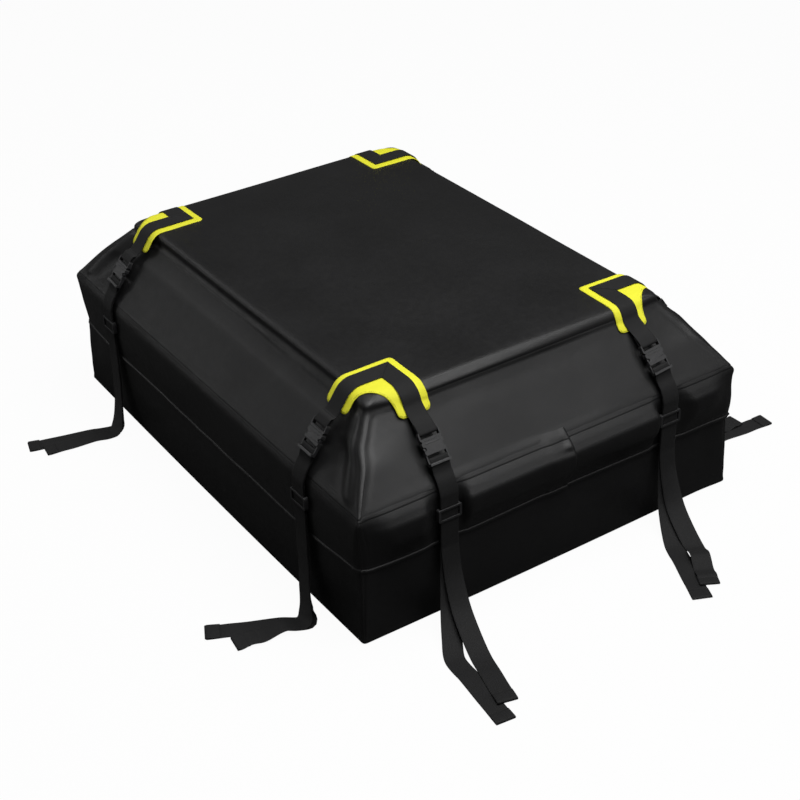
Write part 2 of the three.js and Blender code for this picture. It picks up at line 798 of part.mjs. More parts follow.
function strapWebbing(strap, frames) {
  const x = strap.lean;
  const round = barSize / 2 + gap + webThickness / 2;
  const leaning = acrossBuckle(frames, frames.wall);
  const onSlopePlace = (y, z) => {
    const place = frames.buckle.localToWorld(new THREE.Vector3(0, y, z));
    return frames.wall.worldToLocal(place);
  };
  const wallPlace = (out, z) => new THREE.Vector3(x, -out, z);
  const sideways = new THREE.Vector3(1, 0, 0);
  const shoulder = (out, lift) => [
    wallPlace(out, straightTo),
    wallPlace(out, straightTo + 12),
    wallPlace(out, shoulderHeight - shoulderApproach),
    wallPlace(out, shoulderHeight - shoulderApproach / 2),
    onSlopePlace(buckleFromShoulder * 0.16, lift),
    onSlopePlace(buckleFromShoulder * 0.63, lift + 1),
  ];
  const bar = turn(ladderBar, middle, round, -90, 90, 6).map((p) => onSlopePlace(p.y, p.z));
  const overLip = onSlopePlace(buckleFromShoulder + 1, middle + 2);
  const behind = smooth([...shoulder(rearOut, shoulderLift), bar[0]], 8).slice(1, -1);
  const before = smooth([...shoulder(frontOut, shoulderLift + layerPitch), overLip, bar.at(-1)], 9);
  const upAndOver = [...behind, ...bar, ...before.reverse().slice(1, -1)];
  return ribbon([
    ...tailStations(strap.tail, 0, x).reverse(),
    ...upAndOver.map((at) => ({ at, across: at.z > shoulderHeight ? leaning : sideways })),
    ...tailStations(strap.tail, 1, x),
  ]);
}

// Corner webbing and patch.
// Both lie flat on the top as an L whose arms run over the rail and down the slope.
const patchLift = gap + patchThickness / 2;
const webLift = 2 * gap + patchThickness + webThickness / 2;
const slimmer = 0.12;

// The way over the rail in a side's slope frame, lifted by a height off the cloth.
function overRail(side, lift) {
  const { angle, length } = slopeOf(side);
  const lay = THREE.MathUtils.radToDeg(angle);
  const inFrame = (inset, z) => {
    const y = length + inset * Math.cos(angle) + (z - topHeight) * Math.sin(angle);
    return new THREE.Vector3(0, y, (z - topHeight) * Math.cos(angle) - inset * Math.sin(angle));
  };
  const centre = inFrame(railRadius, topHeight - railRadius);
  const bead = turn(centre.y, centre.z, railRadius + lift, 90 - lay, 84, 2);
  const foot = new THREE.Vector3(0, length * slopeEnd, lift);
  return [inFrame(railRadius + 6, topHeight + lift), ...bead, foot];
}

// How much the patch's rounded inner corner widens an arm, at a distance beyond that corner.
function filletWidth(distance) {
  const left = patchFillet - distance;
  if (left <= 0) {
    return 0;
  }
  return patchFillet - Math.sqrt(patchFillet ** 2 - Math.min(left, patchFillet) ** 2);
}

const patchHalf = webWidth / 2 + patchBorder;

function armSolid(frames, stations) {
  const sideways = new THREE.Vector3(1, 0, 0);
  const geometry = ribbon(stations.map((station) => ({ across: sideways, ...station })));
  return solidOf(geometry.applyMatrix4(frames.slope.matrixWorld));
}

function patchArm(strap, frames) {
  const { length } = slopeOf(strap.side);
  const toCorner = Math.sign(strap.x);
  const centreLine = Math.abs(strap.side % 2 === 0 ? sideStrapY : endStrapX);
  const beadLine = topHalf[strap.side] - railRadius - centreLine - patchHalf;
  const end = length - patchDrop;
  const path = [
    ...overRail(strap.side, patchLift),
    new THREE.Vector3(0, end + 12, patchLift + 0.3),
    new THREE.Vector3(0, end + 4, patchLift + 0.4),
    new THREE.Vector3(0, end, patchLift + 0.4),
  ];
  const rounding = [[end, 2 * patchEndRounding], [end + 4, 2 * patchEndRounding * 0.3]];
  let gone = beadLine - 6;
  const stations = path.map((at, i) => {
    gone += i > 0 ? at.distanceTo(path[i - 1]) : 0;
    const extra = filletWidth(gone);
    const narrower = rounding.find(([y]) => y === at.y)?.[1] ?? 0;
    const width = patchHalf * 2 + extra - narrower;
    return { at: at.clone().setX((toCorner * extra) / 2), width, thickness: patchThickness - slimmer };
  });
  return armSolid(frames, stations);
}

function webArm(strap, frames) {
  const round = barSize / 2 + gap + webThickness / 2;
  const { length } = slopeOf(strap.side);
  const start = overRail(strap.side, webLift);
  const down = smooth([
    new THREE.Vector3(0, length * slopeEnd, webLift),
    new THREE.Vector3(0, length - patchDrop, webLift + 2.2),
    new THREE.Vector3(0, plugBar + 16, middle + round - 3.4),
    new THREE.Vector3(0, plugBar, middle + round),
  ], 6);
  const back = [
    new THREE.Vector3(0, plugBar + 9, middle - round - 1.2),
    new THREE.Vector3(0, plugBar + 22, middle - round - 3.2),
  ];
  const path = [...start.slice(0, -1), ...down, ...turn(plugBar, middle, round, 120, 270, 5), ...back];
  const thickness = webThickness - slimmer;
  const leaning = acrossBuckle(frames, frames.slope);
  return armSolid(frames, path.map((p) => {
    if (p.y > length) {
      return { at: p, thickness };
    }
    const at = frames.slope.worldToLocal(frames.buckle.localToWorld(p.clone()));
    return { at, thickness, across: leaning };
  }));
}

// An L on the flat top in one quarter, from its point out to the middle of each rail's bead.
function cornerPlate(signs, half, fillet, z0, z1) {
  const inX = endStrapX - half;
  const inY = sideStrapY - half;
  const outX = endStrapX + half;
  const outY = sideStrapY + half;
  const endX = topWidth / 2 - railRadius;
  const endY = topLength / 2 - railRadius;
  const inner = [];
  if (fillet > 0) {
    const from = Math.asin((outY + fillet - endY) / fillet);
    const to = Math.acos((outX + fillet - endX) / fillet);
    for (let i = 0; i <= 5; i += 1) {
      const angle = from + ((to - from) * i) / 5;
      inner.push([outX + fillet - fillet * Math.cos(angle), outY + fillet - fillet * Math.sin(angle)]);
    }
    inner[0][1] = endY;
    inner[5][0] = endX;
  } else {
    inner.push([outX, endY], [outX, outY], [endX, outY]);
  }
  const tip = fillet > 0 ? [[inX, inY + 5], [inX + 1.5, inY + 1.5], [inX + 5, inY]] : [[inX, inY]];
  const outline = [...tip, [endX, inY], ...inner.reverse(), [inX, endY]];
  return solidOf(plate(outline.map(([x, y]) => [signs[0] * x, signs[1] * y]), z0, z1));
}

function cornerPatch(signs, pair) {
  const low = topHeight + gap;
  let solid = cornerPlate(signs, patchHalf, patchFillet, low, low + patchThickness);
  for (const { strap, frames } of pair) {
    solid = solid.add(patchArm(strap, frames));
  }
  return geometryOf(solid);
}

function cornerWebbing(signs, pair) {
  const low = topHeight + 2 * gap + patchThickness;
  let solid = cornerPlate(signs, webWidth / 2, 0, low, low + webThickness);
  for (const { strap, frames } of pair) {
    solid = solid.add(webArm(strap, frames));
  }
  return geometryOf(solid);
}

// The whole bag.
addMesh(bag, "base_tub", baseTub(), "coatedCloth");
addMesh(bag, "lid_shell", lidShell(), "coatedCloth");
addMesh(bag, "storm_flap", stormFlap(), "flapCloth");
addMesh(bag, "zip_chain", zipChain(), "zipCoil");
addMesh(bag, "back_strip", backStrip(), "coatedCloth");
for (const [name, hand] of [["left", -1], ["right", 1]]) {
  addMesh(bag, `zip_slider_${name}`, zipSlider(hand), "zincSlider");
  addMesh(bag, `zip_pull_${name}`, zipPull(hand), "zincSlider");
}

const fitted = straps.map((strap) => ({ strap, frames: strapFrames(strap) }));
for (const { strap, frames } of fitted) {
  addMesh(frames.buckle, `plug_${strap.name}`, plug(), "acetal");
  addMesh(frames.buckle, `socket_${strap.name}`, socket(), "acetal");
  addMesh(frames.wall, `strap_${strap.name}`, strapWebbing(strap, frames), "webbing");
  const glide = addMesh(frames.wall, `tri_glide_${strap.name}`, triGlide(), "acetal");
  glide.position.set(strap.lean, 0, glideHeight);
}

const corners = [
  { name: "front_left", signs: [-1, -1], pair: ["front_left", "left_front"] },
  { name: "front_right", signs: [1, -1], pair: ["front_right", "right_front"] },
  { name: "back_right", signs: [1, 1], pair: ["back_right", "right_back"] },
  { name: "back_left", signs: [-1, 1], pair: ["back_left", "left_back"] },
];
for (const { name, signs, pair } of corners) {
  const both = pair.map((strapName) => fitted.find(({ strap }) => strap.name === strapName));
  addMesh(bag, `corner_patch_${name}`, cornerPatch(signs, both), "reflective");
  addMesh(bag, `corner_webbing_${name}`, cornerWebbing(signs, both), "webbing");
}

export default bag;
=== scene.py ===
"""Roof cargo bag: what the photograph shows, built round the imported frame."""
import math

import bmesh
import bpy
import numpy as np
from mathutils import Matrix, Vector
from mathutils.bvhtree import BVHTree
from mathutils.geometry import delaunay_2d_cdt


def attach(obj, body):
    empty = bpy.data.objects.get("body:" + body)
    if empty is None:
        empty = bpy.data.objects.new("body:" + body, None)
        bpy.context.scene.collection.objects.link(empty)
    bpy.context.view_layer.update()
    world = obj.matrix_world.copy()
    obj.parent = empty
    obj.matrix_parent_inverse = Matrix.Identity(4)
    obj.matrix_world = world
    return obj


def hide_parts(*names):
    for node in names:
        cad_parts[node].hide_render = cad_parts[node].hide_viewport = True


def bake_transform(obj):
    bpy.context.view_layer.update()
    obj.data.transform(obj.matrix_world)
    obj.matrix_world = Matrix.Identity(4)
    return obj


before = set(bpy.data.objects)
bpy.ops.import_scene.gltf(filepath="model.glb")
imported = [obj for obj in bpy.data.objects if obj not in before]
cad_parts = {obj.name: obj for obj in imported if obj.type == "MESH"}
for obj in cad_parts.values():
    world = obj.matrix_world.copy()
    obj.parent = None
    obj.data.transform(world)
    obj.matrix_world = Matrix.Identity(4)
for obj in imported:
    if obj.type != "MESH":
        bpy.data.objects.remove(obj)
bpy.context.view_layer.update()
MM = 0.001

# ---- camera


def camera():
    """The photograph's view: a long lens from the front left, about 33 degrees up."""
    azimuth, elevation, roll = (math.radians(v) for v in (-32.58646, 33.03494, -2.07927))
    back = Vector((math.sin(azimuth) * math.cos(elevation), -math.cos(azimuth) * math.cos(elevation),
                   math.sin(elevation)))
    right = (-back).cross(Vector((0, 0, 1))).normalized()
    up = right.cross(-back)
    right, up = (right * math.cos(roll) + up * math.sin(roll), up * math.cos(roll) - right * math.sin(roll))
    data = bpy.data.cameras.new("camera")
    data.sensor_width = 36
    data.lens = 1539.0957 * 36 / 800
    data.shift_x = (400 - 387.489) / 800
    data.shift_y = (426.175 - 400) / 800
    data.clip_end = 50
    eye = bpy.data.objects.new("camera", data)
    bpy.context.scene.collection.objects.link(eye)
    turn = Matrix((right, up, back)).transposed().to_4x4()
    turn.translation = back * 3.335314
    eye.matrix_world = turn
    bpy.context.scene.camera = eye


camera()
bpy.context.scene.view_settings.view_transform = "Standard"

# ---- sizes, in mm

WIDTH, LENGTH = 860, 1140
SHOULDER, TOP = 274, 417.5
TOP_WIDTH, TOP_LENGTH = 658, 898
RISE = TOP - SHOULDER
FLAP_LOW, FLAP_OUT = 150, 5
WEB = 38
END_X, SIDE_Y = 250, 390
TURN = [0, math.pi / 2, math.pi, -math.pi / 2]
HALF_ACROSS = [LENGTH / 2, WIDTH / 2, LENGTH / 2, WIDTH / 2]
TOP_HALF = [TOP_LENGTH / 2, TOP_WIDTH / 2, TOP_LENGTH / 2, TOP_WIDTH / 2]
STRAPS = {  # side, place along it, lean
    "front_left": (0, -END_X, 0), "front_right": (0, END_X, 14), "right_front": (1, -SIDE_Y, 0),
    "right_back": (1, SIDE_Y, 0), "back_right": (2, -END_X, 0), "back_left": (2, END_X, 0),
    "left_back": (3, -SIDE_Y, -8), "left_front": (3, SIDE_Y, 0)}
NORMAL = np.array([[0, -1], [1, 0], [0, 1], [-1, 0]], float)
ALONG = np.array([[1, 0], [0, 1], [-1, 0], [0, -1]], float)


def half_run(side):
    """Half of the bag's reach along a side."""
    return np.where(side % 2 == 0, WIDTH / 2, LENGTH / 2)


# ---- noise and small helpers


def lattice(seed):
    return np.random.default_rng(seed).uniform(-1, 1, (32, 32, 32))


LATTICES = [lattice(seed) for seed in range(6)]


def noise(points, scale, seed=0):
    """Smooth noise from -1 to 1 at points, with one bump about every scale."""
    p = np.asarray(points, float) / np.asarray(scale, float) + 7.31 * (seed + 1)
    cell = np.floor(p).astype(int)
    f = p - cell
    f = f * f * f * (f * (f * 6 - 15) + 10)
    total = 0
    for step in np.ndindex(2, 2, 2):
        x, y, z = np.moveaxis((cell + step) % 32, -1, 0)
        total = total + LATTICES[seed % 6][x, y, z] * np.where(step, f, 1 - f).prod(axis=-1)
    return total


def bump(x, centre, width):
    return np.exp(-(((x - centre) / width) ** 2))


def ease(x, low, high):
    t = np.clip((x - low) / (high - low), 0, 1)
    return t * t * (3 - 2 * t)


def curve_through(points, spacing):
    """A smooth curve through points, sampled evenly."""
    pts = np.asarray(points, float)
    ext = np.vstack([2 * pts[0] - pts[1], pts, 2 * pts[-1] - pts[-2]])
    steps = np.maximum(np.linalg.norm(np.diff(ext, axis=0), axis=1), 1e-6) ** 0.5
    knots = np.concatenate([[0], np.cumsum(steps)])

    def part(t, i, j, a, b):
        return ((knots[j] - t) * a + (t - knots[i]) * b) / (knots[j] - knots[i])

    out = []
    for i in range(1, len(ext) - 2):
        for t in np.linspace(knots[i], knots[i + 1], 24, endpoint=False):
            first, mid, last = (part(t, k, k + 1, ext[k], ext[k + 1]) for k in (i - 1, i, i + 1))
            out.append(part(t, i, i + 1, part(t, i - 1, i + 1, first, mid), part(t, i, i + 2, mid, last)))
    out.append(pts[-1])
    return resample(np.array(out), spacing)


def lengths(path):
    return np.concatenate([[0], np.cumsum(np.linalg.norm(np.diff(path, axis=0), axis=1))])


def resample(path, spacing):
    s = lengths(path)
    n = max(int(round(s[-1] / spacing)), 2)
    at = np.linspace(0, s[-1], n + 1)
    return np.stack([np.interp(at, s, path[:, k]) for k in range(path.shape[1])], axis=1)


def new_object(name, vertices, faces, uvs=None, smooth=True):
    """A mesh object from points in mm, with UVs in metres, one pair for each face corner."""
    mesh = bpy.data.meshes.new(name)
    mesh.from_pydata((np.asarray(vertices) * MM).tolist(), [], [list(map(int, f)) for f in faces])
    if uvs is not None:
        layer = mesh.uv_layers.new(name="cloth")
        layer.data.foreach_set("uv", (np.asarray(uvs, np.float32) * MM).ravel())
    mesh.polygons.foreach_set("use_smooth", [smooth] * len(mesh.polygons))
    mesh.update()
    obj = bpy.data.objects.new(name, mesh)
    bpy.context.scene.collection.objects.link(obj)
    return obj


def turn_points(x, y, radius, start, stop, steps):
    """Points of an arc, its angles in degrees."""
    for i in range(steps + 1):
        a = math.radians(start + (stop - start) * i / steps)
        yield x + radius * math.cos(a), y + radius * math.sin(a)


# ---- rings round the bag


END_COLS, SIDE_COLS, CORNER_COLS = 132, 176, 22


def columns():
    """Each column's kind (0 on a side, 1 in the corner after it), its side and its place there."""
    kind, side, value = [], [], []
    for k in range(4):
        n = SIDE_COLS if k % 2 else END_COLS
        value += [math.sin(1.4 * (2 * i / n - 1)) / math.sin(1.4) for i in range(n + 1)]
        value += [i / CORNER_COLS for i in range(1, CORNER_COLS)]
        kind += [0] * (n + 1) + [1] * (CORNER_COLS - 1)
        side += [k] * (n + CORNER_COLS)
    return np.array(kind), np.array(side), np.array(value)


def outline(cols, hx, hy, r, z, bow=0.0, out=0.0):
    """One ring: half sizes, corner radius, height, how far the sides' middles stand out."""
    kind, side, value = cols
    n, a = NORMAL[side], ALONG[side]
    even = side % 2 == 0
    across = np.where(even, hy, hx)
    run = np.where(even, hx, hy)
    flat = n * (across + out + bow * (1 - value ** 2))[:, None] + a * (value * (run - r))[:, None]
    angle = value * math.pi / 2
    facing = n * np.cos(angle)[:, None] + a * np.sin(angle)[:, None]
    centre = (n + a) * np.array([hx - r, hy - r])
    turned = centre + facing * (r + np.broadcast_to(out, value.shape))[:, None]
    xy = np.where((kind == 0)[:, None], flat, turned)
    return np.column_stack([xy, np.broadcast_to(z, value.shape)])


def side_place(cols, hx, hy, r):
    """Each column's place along its own side, on a ring, and that of its right neighbour."""
    kind, side, value = cols
    run = np.where(side % 2 == 0, hx, hy) - r
    left = np.where(kind == 0, value * run, run + r * value * math.pi / 2)
    right = np.roll(left, -1)
    turns = np.roll(side, -1) != side
    return left, np.where(turns, run + r * math.pi / 2, right)


def normals_of(grid, wrap=True):
    if wrap:
        across = np.roll(grid, -1, axis=1) - np.roll(grid, 1, axis=1)
    else:
        across = np.gradient(grid, axis=1)
    up = np.gradient(grid, axis=0)
    n = np.cross(across, up)
    size = np.linalg.norm(n, axis=2, keepdims=True)
    return n / np.maximum(size, 1e-9)


def between(levels, counts):
    """Rows of a profile: smooth through the levels, with counts[i] rows from level i on."""
    table = np.asarray(levels, float)
    rows = []
    for i, count in enumerate(counts):
        p1, p2 = table[i], table[i + 1]
        p0 = table[i - 1] if i > 0 else 2 * p1 - p2
        p3 = table[i + 2] if i + 2 < len(table) else 2 * p2 - p1
        for k in range(count):
            t = k / count
            m1, m2 = (p2 - p0) / 2, (p3 - p1) / 2
            rows.append((2 * t ** 3 - 3 * t * t + 1) * p1 + (t ** 3 - 2 * t * t + t) * m1
                        + (3 * t * t - 2 * t ** 3) * p2 + (t ** 3 - t * t) * m2)
    rows.append(table[-1])
    return np.array(rows)


def quads(rows, count, bands, spans):
    """Corners of the quads of a grid that has count points a row."""
    i, j = np.arange(bands)[:, None], np.arange(spans)[None]
    ni, nj = (i + 1) % rows, (j + 1) % count
    return np.stack(np.broadcast_arrays(i * count + j, i * count + nj, ni * count + nj, ni * count + j), -1)


def quad_uvs(low_left, low_right, high_right, high_left, low, high):
    """UVs of the quads' corners."""
    u = np.stack(np.broadcast_arrays(low_left, low_right, high_right, high_left), -1)
    v = np.stack(np.broadcast_arrays(low, low, high, high), -1)
    return np.stack(np.broadcast_arrays(u, v), -1)


def grid_object(name, grid, cols, uv_rows, wrap=True, flat_from=None, close=False):
    """Skins a grid of rows of columns. uv_rows are each row's half sizes and radius."""
    rows, count = grid.shape[:2]
    spans = count if wrap else count - 1
    bands = rows if close else rows - 1
    loop = np.vstack([grid, grid[:1]]) if close else grid
    step = np.linalg.norm(np.diff(loop, axis=0), axis=2).mean(axis=1)
    v = np.concatenate([[0], np.cumsum(step)])[:, None]
    faces = quads(rows, count, bands, spans)
    left, right = np.array([side_place(cols, *row) for row in uv_rows]).swapaxes(0, 1)[..., :spans]
    nxt = (np.arange(bands) + 1) % rows
    uv = quad_uvs(left[:bands], right[:bands], right[nxt], left[nxt], v[:bands], v[1:bands + 1]).copy()
    if flat_from is not None:
        uv[flat_from:] = grid.reshape(-1, 3)[faces[flat_from:]][..., :2]
    return new_object(name, grid.reshape(-1, 3), faces.reshape(-1, 4), uv.reshape(-1, 2))


# ---- lid

LID_COLS = columns()
ANGLES = (math.atan2(RISE, (WIDTH - TOP_WIDTH) / 2), math.atan2(RISE, (LENGTH - TOP_LENGTH) / 2))


def slope_at(z, off_x=0.0, off_y=0.0):
    """Half sizes of the slopes' planes at a height, each lifted off its plane."""
    return [WIDTH / 2 - (z - SHOULDER) / math.tan(ANGLES[0]) + off_x / math.sin(ANGLES[0]),
            LENGTH / 2 - (z - SHOULDER) / math.tan(ANGLES[1]) + off_y / math.sin(ANGLES[1])]


# The edge round the top panel, as its reach beyond the top's plain edge and its drop below it,
# from the slope up. Along the ends it is a padded lip. Along the sides it is a roll over a
# recess, with a fold under it that runs out towards the front.
END_EDGE = [(54, 63), (38, 44.6), (29.8, 34.4), (24.8, 28.1), (21.4, 24), (19.5, 21.5), (18.6, 19.9),
            (18.3, 18.6), (18.2, 17), (17.6, 15), (16, 12.8), (13.4, 10.4), (10.2, 7.8), (6.8, 5.2),
            (3, 2.8), (-7, 0.9), (-32, 0)]
FLAT_EDGE = [(54, 63), (38, 44.6), (29.6, 34.4), (24.4, 28), (20.7, 23.6), (18.5, 20.9), (17.5, 19.5),
             (17.2, 18.5), (16.9, 16.8), (16.3, 14.4), (15.2, 11.6), (13.6, 8.8), (11.2, 6), (8, 3.8),
             (3, 2.1), (-8, 0.7), (-32, 0)]
FAR_EDGE = [(42, 62), (27.6, 50), (17.4, 41.4), (10.4, 35), (6, 30.8), (4, 27.8), (0.6, 26.8),
            (-2.8, 24.8), (-4.2, 20.4), (-4.2, 15.4), (-3.6, 11), (-4, 7.4), (-6.2, 4.4), (-11, 1.9),
            (-18, 0.6), (-25, 0.1), (-34, 0)]
NEAR_EDGE = [(38, 64.6), (27, 55.6), (18, 47.8), (11.4, 41.2), (6.6, 35.6), (3, 30.4), (0, 25.6),
             (-2.4, 21), (-3.6, 17), (-3.9, 13), (-4.1, 9.6), (-5.2, 6.4), (-7.8, 4), (-12, 2),
             (-18, 0.6), (-25, 0.1), (-34, 0)]
EDGE_RADII = [10, 9.5, 9, 9, 9, 9, 9, 9, 9.5, 10, 12, 15, 19, 23, 26, 28, 30]
EDGE_ROWS = [4, 4, 3, 3, 2, 2, 2, 2, 2, 2, 3, 3, 3, 3, 3, 3]


def lid_levels(edge, dip=0.0):
    """Half sizes, radius, height and slope share of the lid's rows, from the shoulder up."""
    def row(share, off, radius):
        z = SHOULDER + RISE * share
        return slope_at(z, off, off) + [radius, z, share]

    levels = [[WIDTH / 2 - 4, LENGTH / 2 - 4, 14, 262, 0], [WIDTH / 2 - 3, LENGTH / 2 - 3, 10, 270, 0],
              row(0.005, 0, 6), row(0.1, 0.3, 6), row(0.25, 0.8 - dip / 2, 7), row(0.4, 0.9 - dip, 9)]
    for (reach, drop), radius in zip(edge, EDGE_RADII):
        levels.append([TOP_WIDTH / 2 + reach, TOP_LENGTH / 2 + reach, radius, TOP - drop, 1 - drop / RISE])
    return between(levels, [3, 3, 5, 7, 7, 6] + EDGE_ROWS)


def lid_form(cols):
    """The lid's rows, blended round the bag from the four sections of its edge."""
    kind, side, value = cols
    forms, rows = [], None
    for edge in (END_EDGE, FLAT_EDGE, FAR_EDGE, NEAR_EDGE):
        rows = lid_levels(edge, 4 if edge is NEAR_EDGE else 0)
        forms.append(np.array([outline(cols, hx, hy, r, z) for hx, hy, r, z, _ in rows]))
    run = np.where(side % 2 == 0, TOP_WIDTH / 2, TOP_LENGTH / 2)
    from_corner = np.where(kind == 0, run * (1 - np.abs(value)), 0)
    half = 0.5 * np.where(side % 2 == 0, ease(from_corner, -10, 110), ease(from_corner, 4, 58))
    end = np.where(side % 2 == 0, 0.5 + half, 0.5 - half)
    end = np.where(kind == 0, end, 0.5)[None, :, None]
    near = ease(-forms[2][..., 1], 40, 190)[..., None]
    sides = forms[2] * (1 - near) + forms[3] * near
    right = ease(forms[0][..., 0], -150, 210)[..., None]
    ends = forms[0] * (1 - right) + forms[1] * right
    return ends * end + sides * (1 - end), rows


def lid_shift(grid, share, cols):
    """How far the slopes' cloth lies off its plain form."""
    kind, side, value = cols
    t = share[:, None]
    run = half_run(side) * (1 - 0.22 * t)
    from_hip = np.where(kind == 0, run * (1 - np.abs(value)), 0)
    on_slope = ease(t, 0.02, 0.12) * (1 - ease(t, 0.72, 0.8))
    sag = -2.2 * np.sin(math.pi * np.clip(t, 0, 1)) * (1 - bump(from_hip, 0, 60))
    long_side = (side % 2 == 1)[None, :]
    arch = np.sin(math.pi * np.clip(t, 0, 1)) ** 0.5
    up = np.clip((t - 0.08) / 0.62, 0, 1)
    crest = 29 - 19 * up
    fall = np.where(from_hip < crest, 0.62 * crest, 20 + 10 * up)
    fold = (8.6 - 3 * up) * bump(from_hip, crest, fall) - 4.4 * bump(from_hip, crest + 44, 25 + 12 * up)
    hip = np.where(long_side, fold, -0.5 * bump(from_hip, 12, 6)) * arch
    ridge = 0.7 * bump(from_hip, 0, 4.5) * ease(t, 0, 0.08)
    calm = 1 - 0.85 * bump(from_hip, 0, 85)
    loose = 1.3 * noise(grid, (190, 190, 150), 1) + 0.5 * noise(grid, (70, 70, 110), 2)
    crease = 0.5 * noise(grid @ np.array([[0.8, 0.2, 0], [-0.2, 0.8, 0], [0, 0.4, 1]]), (46, 46, 150), 3)
    return on_slope * (sag + hip + ridge + calm * (loose + crease))


def top_height(x, y, share):
    p = np.stack([x, y, np.zeros_like(x)], -1)
    edge = ease(share, 1.0, 0.9)
    z = TOP + 3 * (1 - share ** 2) * edge
    return z + edge * (0.5 * noise(p, 230, 4) + 0.22 * noise(p, (60, 160, 60), 5))


def build_lid():
    grid, levels = lid_form(LID_COLS)
    shift = lid_shift(grid, levels[:, 4], LID_COLS)
    grid = grid + normals_of(grid) * shift[..., None]
    grid += ear(grid, LID_COLS, 270, 9, 2.5)
    panel = []
    for share in np.concatenate([[0.995, 0.985, 0.97], np.linspace(0.94, 0.001, 46)]):
        hx, hy = (TOP_WIDTH / 2 - 33) * share, (TOP_LENGTH / 2 - 33) * share
        ring = outline(LID_COLS, hx, hy, 30 * share, TOP)
        ring[:, 2] = top_height(ring[:, 0], ring[:, 1], np.full(len(ring), share))
        panel.append(ring)
    first_top = len(grid) - 1
    whole = np.vstack([grid, panel])
    uv_rows = [(row[0], row[1], row[2]) for row in levels] + [(300, 400, 20)] * len(panel)
    return grid_object("bag_lid", whole, LID_COLS, uv_rows, flat_from=first_top)


def ear(grid, cols, height, spread, size):
    """The pinched point where slope, wall and corner seam meet at each shoulder corner."""
    kind, side, value = cols
    around = np.where(kind == 1, np.abs(value - 0.5) * 2, 1 + (1 - np.abs(value)) * 22)
    diagonal = NORMAL[side] + ALONG[side]
    other = NORMAL[side] - ALONG[side]
    diagonal = np.where((kind == 0)[:, None] & (value < 0)[:, None], other, diagonal) / math.sqrt(2)
    amount = size * np.exp(-(around / 0.8) ** 2)[None, :] * bump(grid[..., 2], height, spread)
    beside = np.exp(-((around - 1.7) / 0.7) ** 2)[None, :]
    pinch = -1.4 * beside * bump(grid[..., 2], height - 4, spread * 1.6)
    move = np.zeros_like(grid)
    move[..., :2] = (amount + pinch)[..., None] * diagonal[None]
    return move


def corner_push(grid, cols, which, amount):
    """Moves the cloth out along the diagonal of the corner after a side, most at the corner."""
    kind, side, value = cols
    own = side == which
    after = side == (which + 1) % 4
    run = half_run(side) - 20
    away = np.where(kind == 1, np.abs(value - 0.5) * 16, run * (1 - np.abs(value)) + 8)
    near = (own & ((kind == 1) | (value > 0))) | (after & (kind == 0) & (value < 0))
    share = np.where(near, np.exp(-((away / 42) ** 2)), 0)
    diagonal = (NORMAL[which] + ALONG[which]) / math.sqrt(2)
    move = np.zeros_like(grid)
    move[..., :2] = (np.broadcast_to(amount, grid.shape[:2]) * share[None])[..., None] * diagonal
    return move


# ---- tub


def build_tub():
    # Inset, radius, z and bow of each level.
    levels = [[60, 8, 1.2, 0], [24, 8, 0.4, 1], [9, 7, 0.2, 2.5], [2.6, 7, 0.8, 3], [-1.6, 7, 2.8, 3.4],
              [-2.6, 7, 6.4, 3.8], [-1.4, 8, 18, 4.2], [-0.4, 11, 50, 4.8], [-0.2, 14, 90, 5],
              [0.6, 17, 122, 4], [1.4, 19, 150, 3], [5, 30, 178, 1.4], [11, 32, 196, 0], [12, 32, 212, 0],
              [14.6, 30, 212.4, 0], [14.6, 30, 200, 0]]
    rows = between(levels, [2, 2, 2, 3, 3, 4, 7, 8, 6, 6, 6, 4, 3, 2, 3])
    grid = np.array([outline(LID_COLS, WIDTH / 2 - a, LENGTH / 2 - a, r, z, b) for a, r, z, b in rows])
    kind, side, value = LID_COLS
    z = grid[..., 2]
    wall = ease(z, 6, 40) * (1 - ease(z, 175, 200))
    run = half_run(side) - 32
    along = value * run + side * 5000
    place = np.stack(np.broadcast_arrays(along[None, :], z * 0.35, 0 * z), -1)
    folds = 1.5 * noise(grid, (210, 210, 120), 0) + 0.7 * noise(place, (34, 60, 50), 2) * bump(z, 20, 60)
    seam = np.where(kind == 1, 1.8 * bump(value, 0.5, 0.05) - 0.8 * bump(np.abs(value - 0.5), 0.14, 0.07), 0)
    from_corner = np.where(kind == 0, run * (1 - np.abs(value)), 0)
    pull = -1.6 * bump(from_corner, 34, 22)[None, :] * bump(z, 120, 70)
    grid = grid + normals_of(grid) * (wall * (folds + seam[None, :] + pull))[..., None]
    grid += corner_push(grid, LID_COLS, 0, 7 * ease(z, 215, 150))
    floor = outline(LID_COLS, 20, 20, 8, 1.5)
    middle = outline(LID_COLS, WIDTH / 2 - 200, LENGTH / 2 - 200, 16, 1.5)
    whole = np.vstack([[floor], [middle], grid])
    uv_rows = [(WIDTH / 2, LENGTH / 2, 32)] * len(whole)
    return grid_object("bag_tub", whole, LID_COLS, uv_rows)


# ---- storm flap

SEAM_UP = 15  # how far up the slope the flap is sewn on


def flap_columns():
    """From under the overlap round the bag and back over it, as columns of the front side."""
    kind, side, value = columns()
    short = side == 0
    straight = WIDTH / 2 - 32
    start, stop = -20 / straight, 20 / straight
    first = short & (kind == 0)
    right = np.linspace(start, 1, 70)
    left = np.concatenate([np.linspace(-1, start - 0.03, 60), np.linspace(start - 0.02, stop, 16)])
    rest = ~first
    kinds = np.concatenate([0 * right, kind[rest], 0 * left]).astype(int)
    sides = np.concatenate([0 * right, side[rest], 0 * left]).astype(int)
    values = np.concatenate([right, value[rest], left])
    out = np.concatenate([0 * right, 0 * value[rest], 2.7 * ease(left, start - 0.05, start + 0.01)
                          + 0.9 * bump(left, stop - 0.012, 0.012)])
    return (kinds, sides, values), out


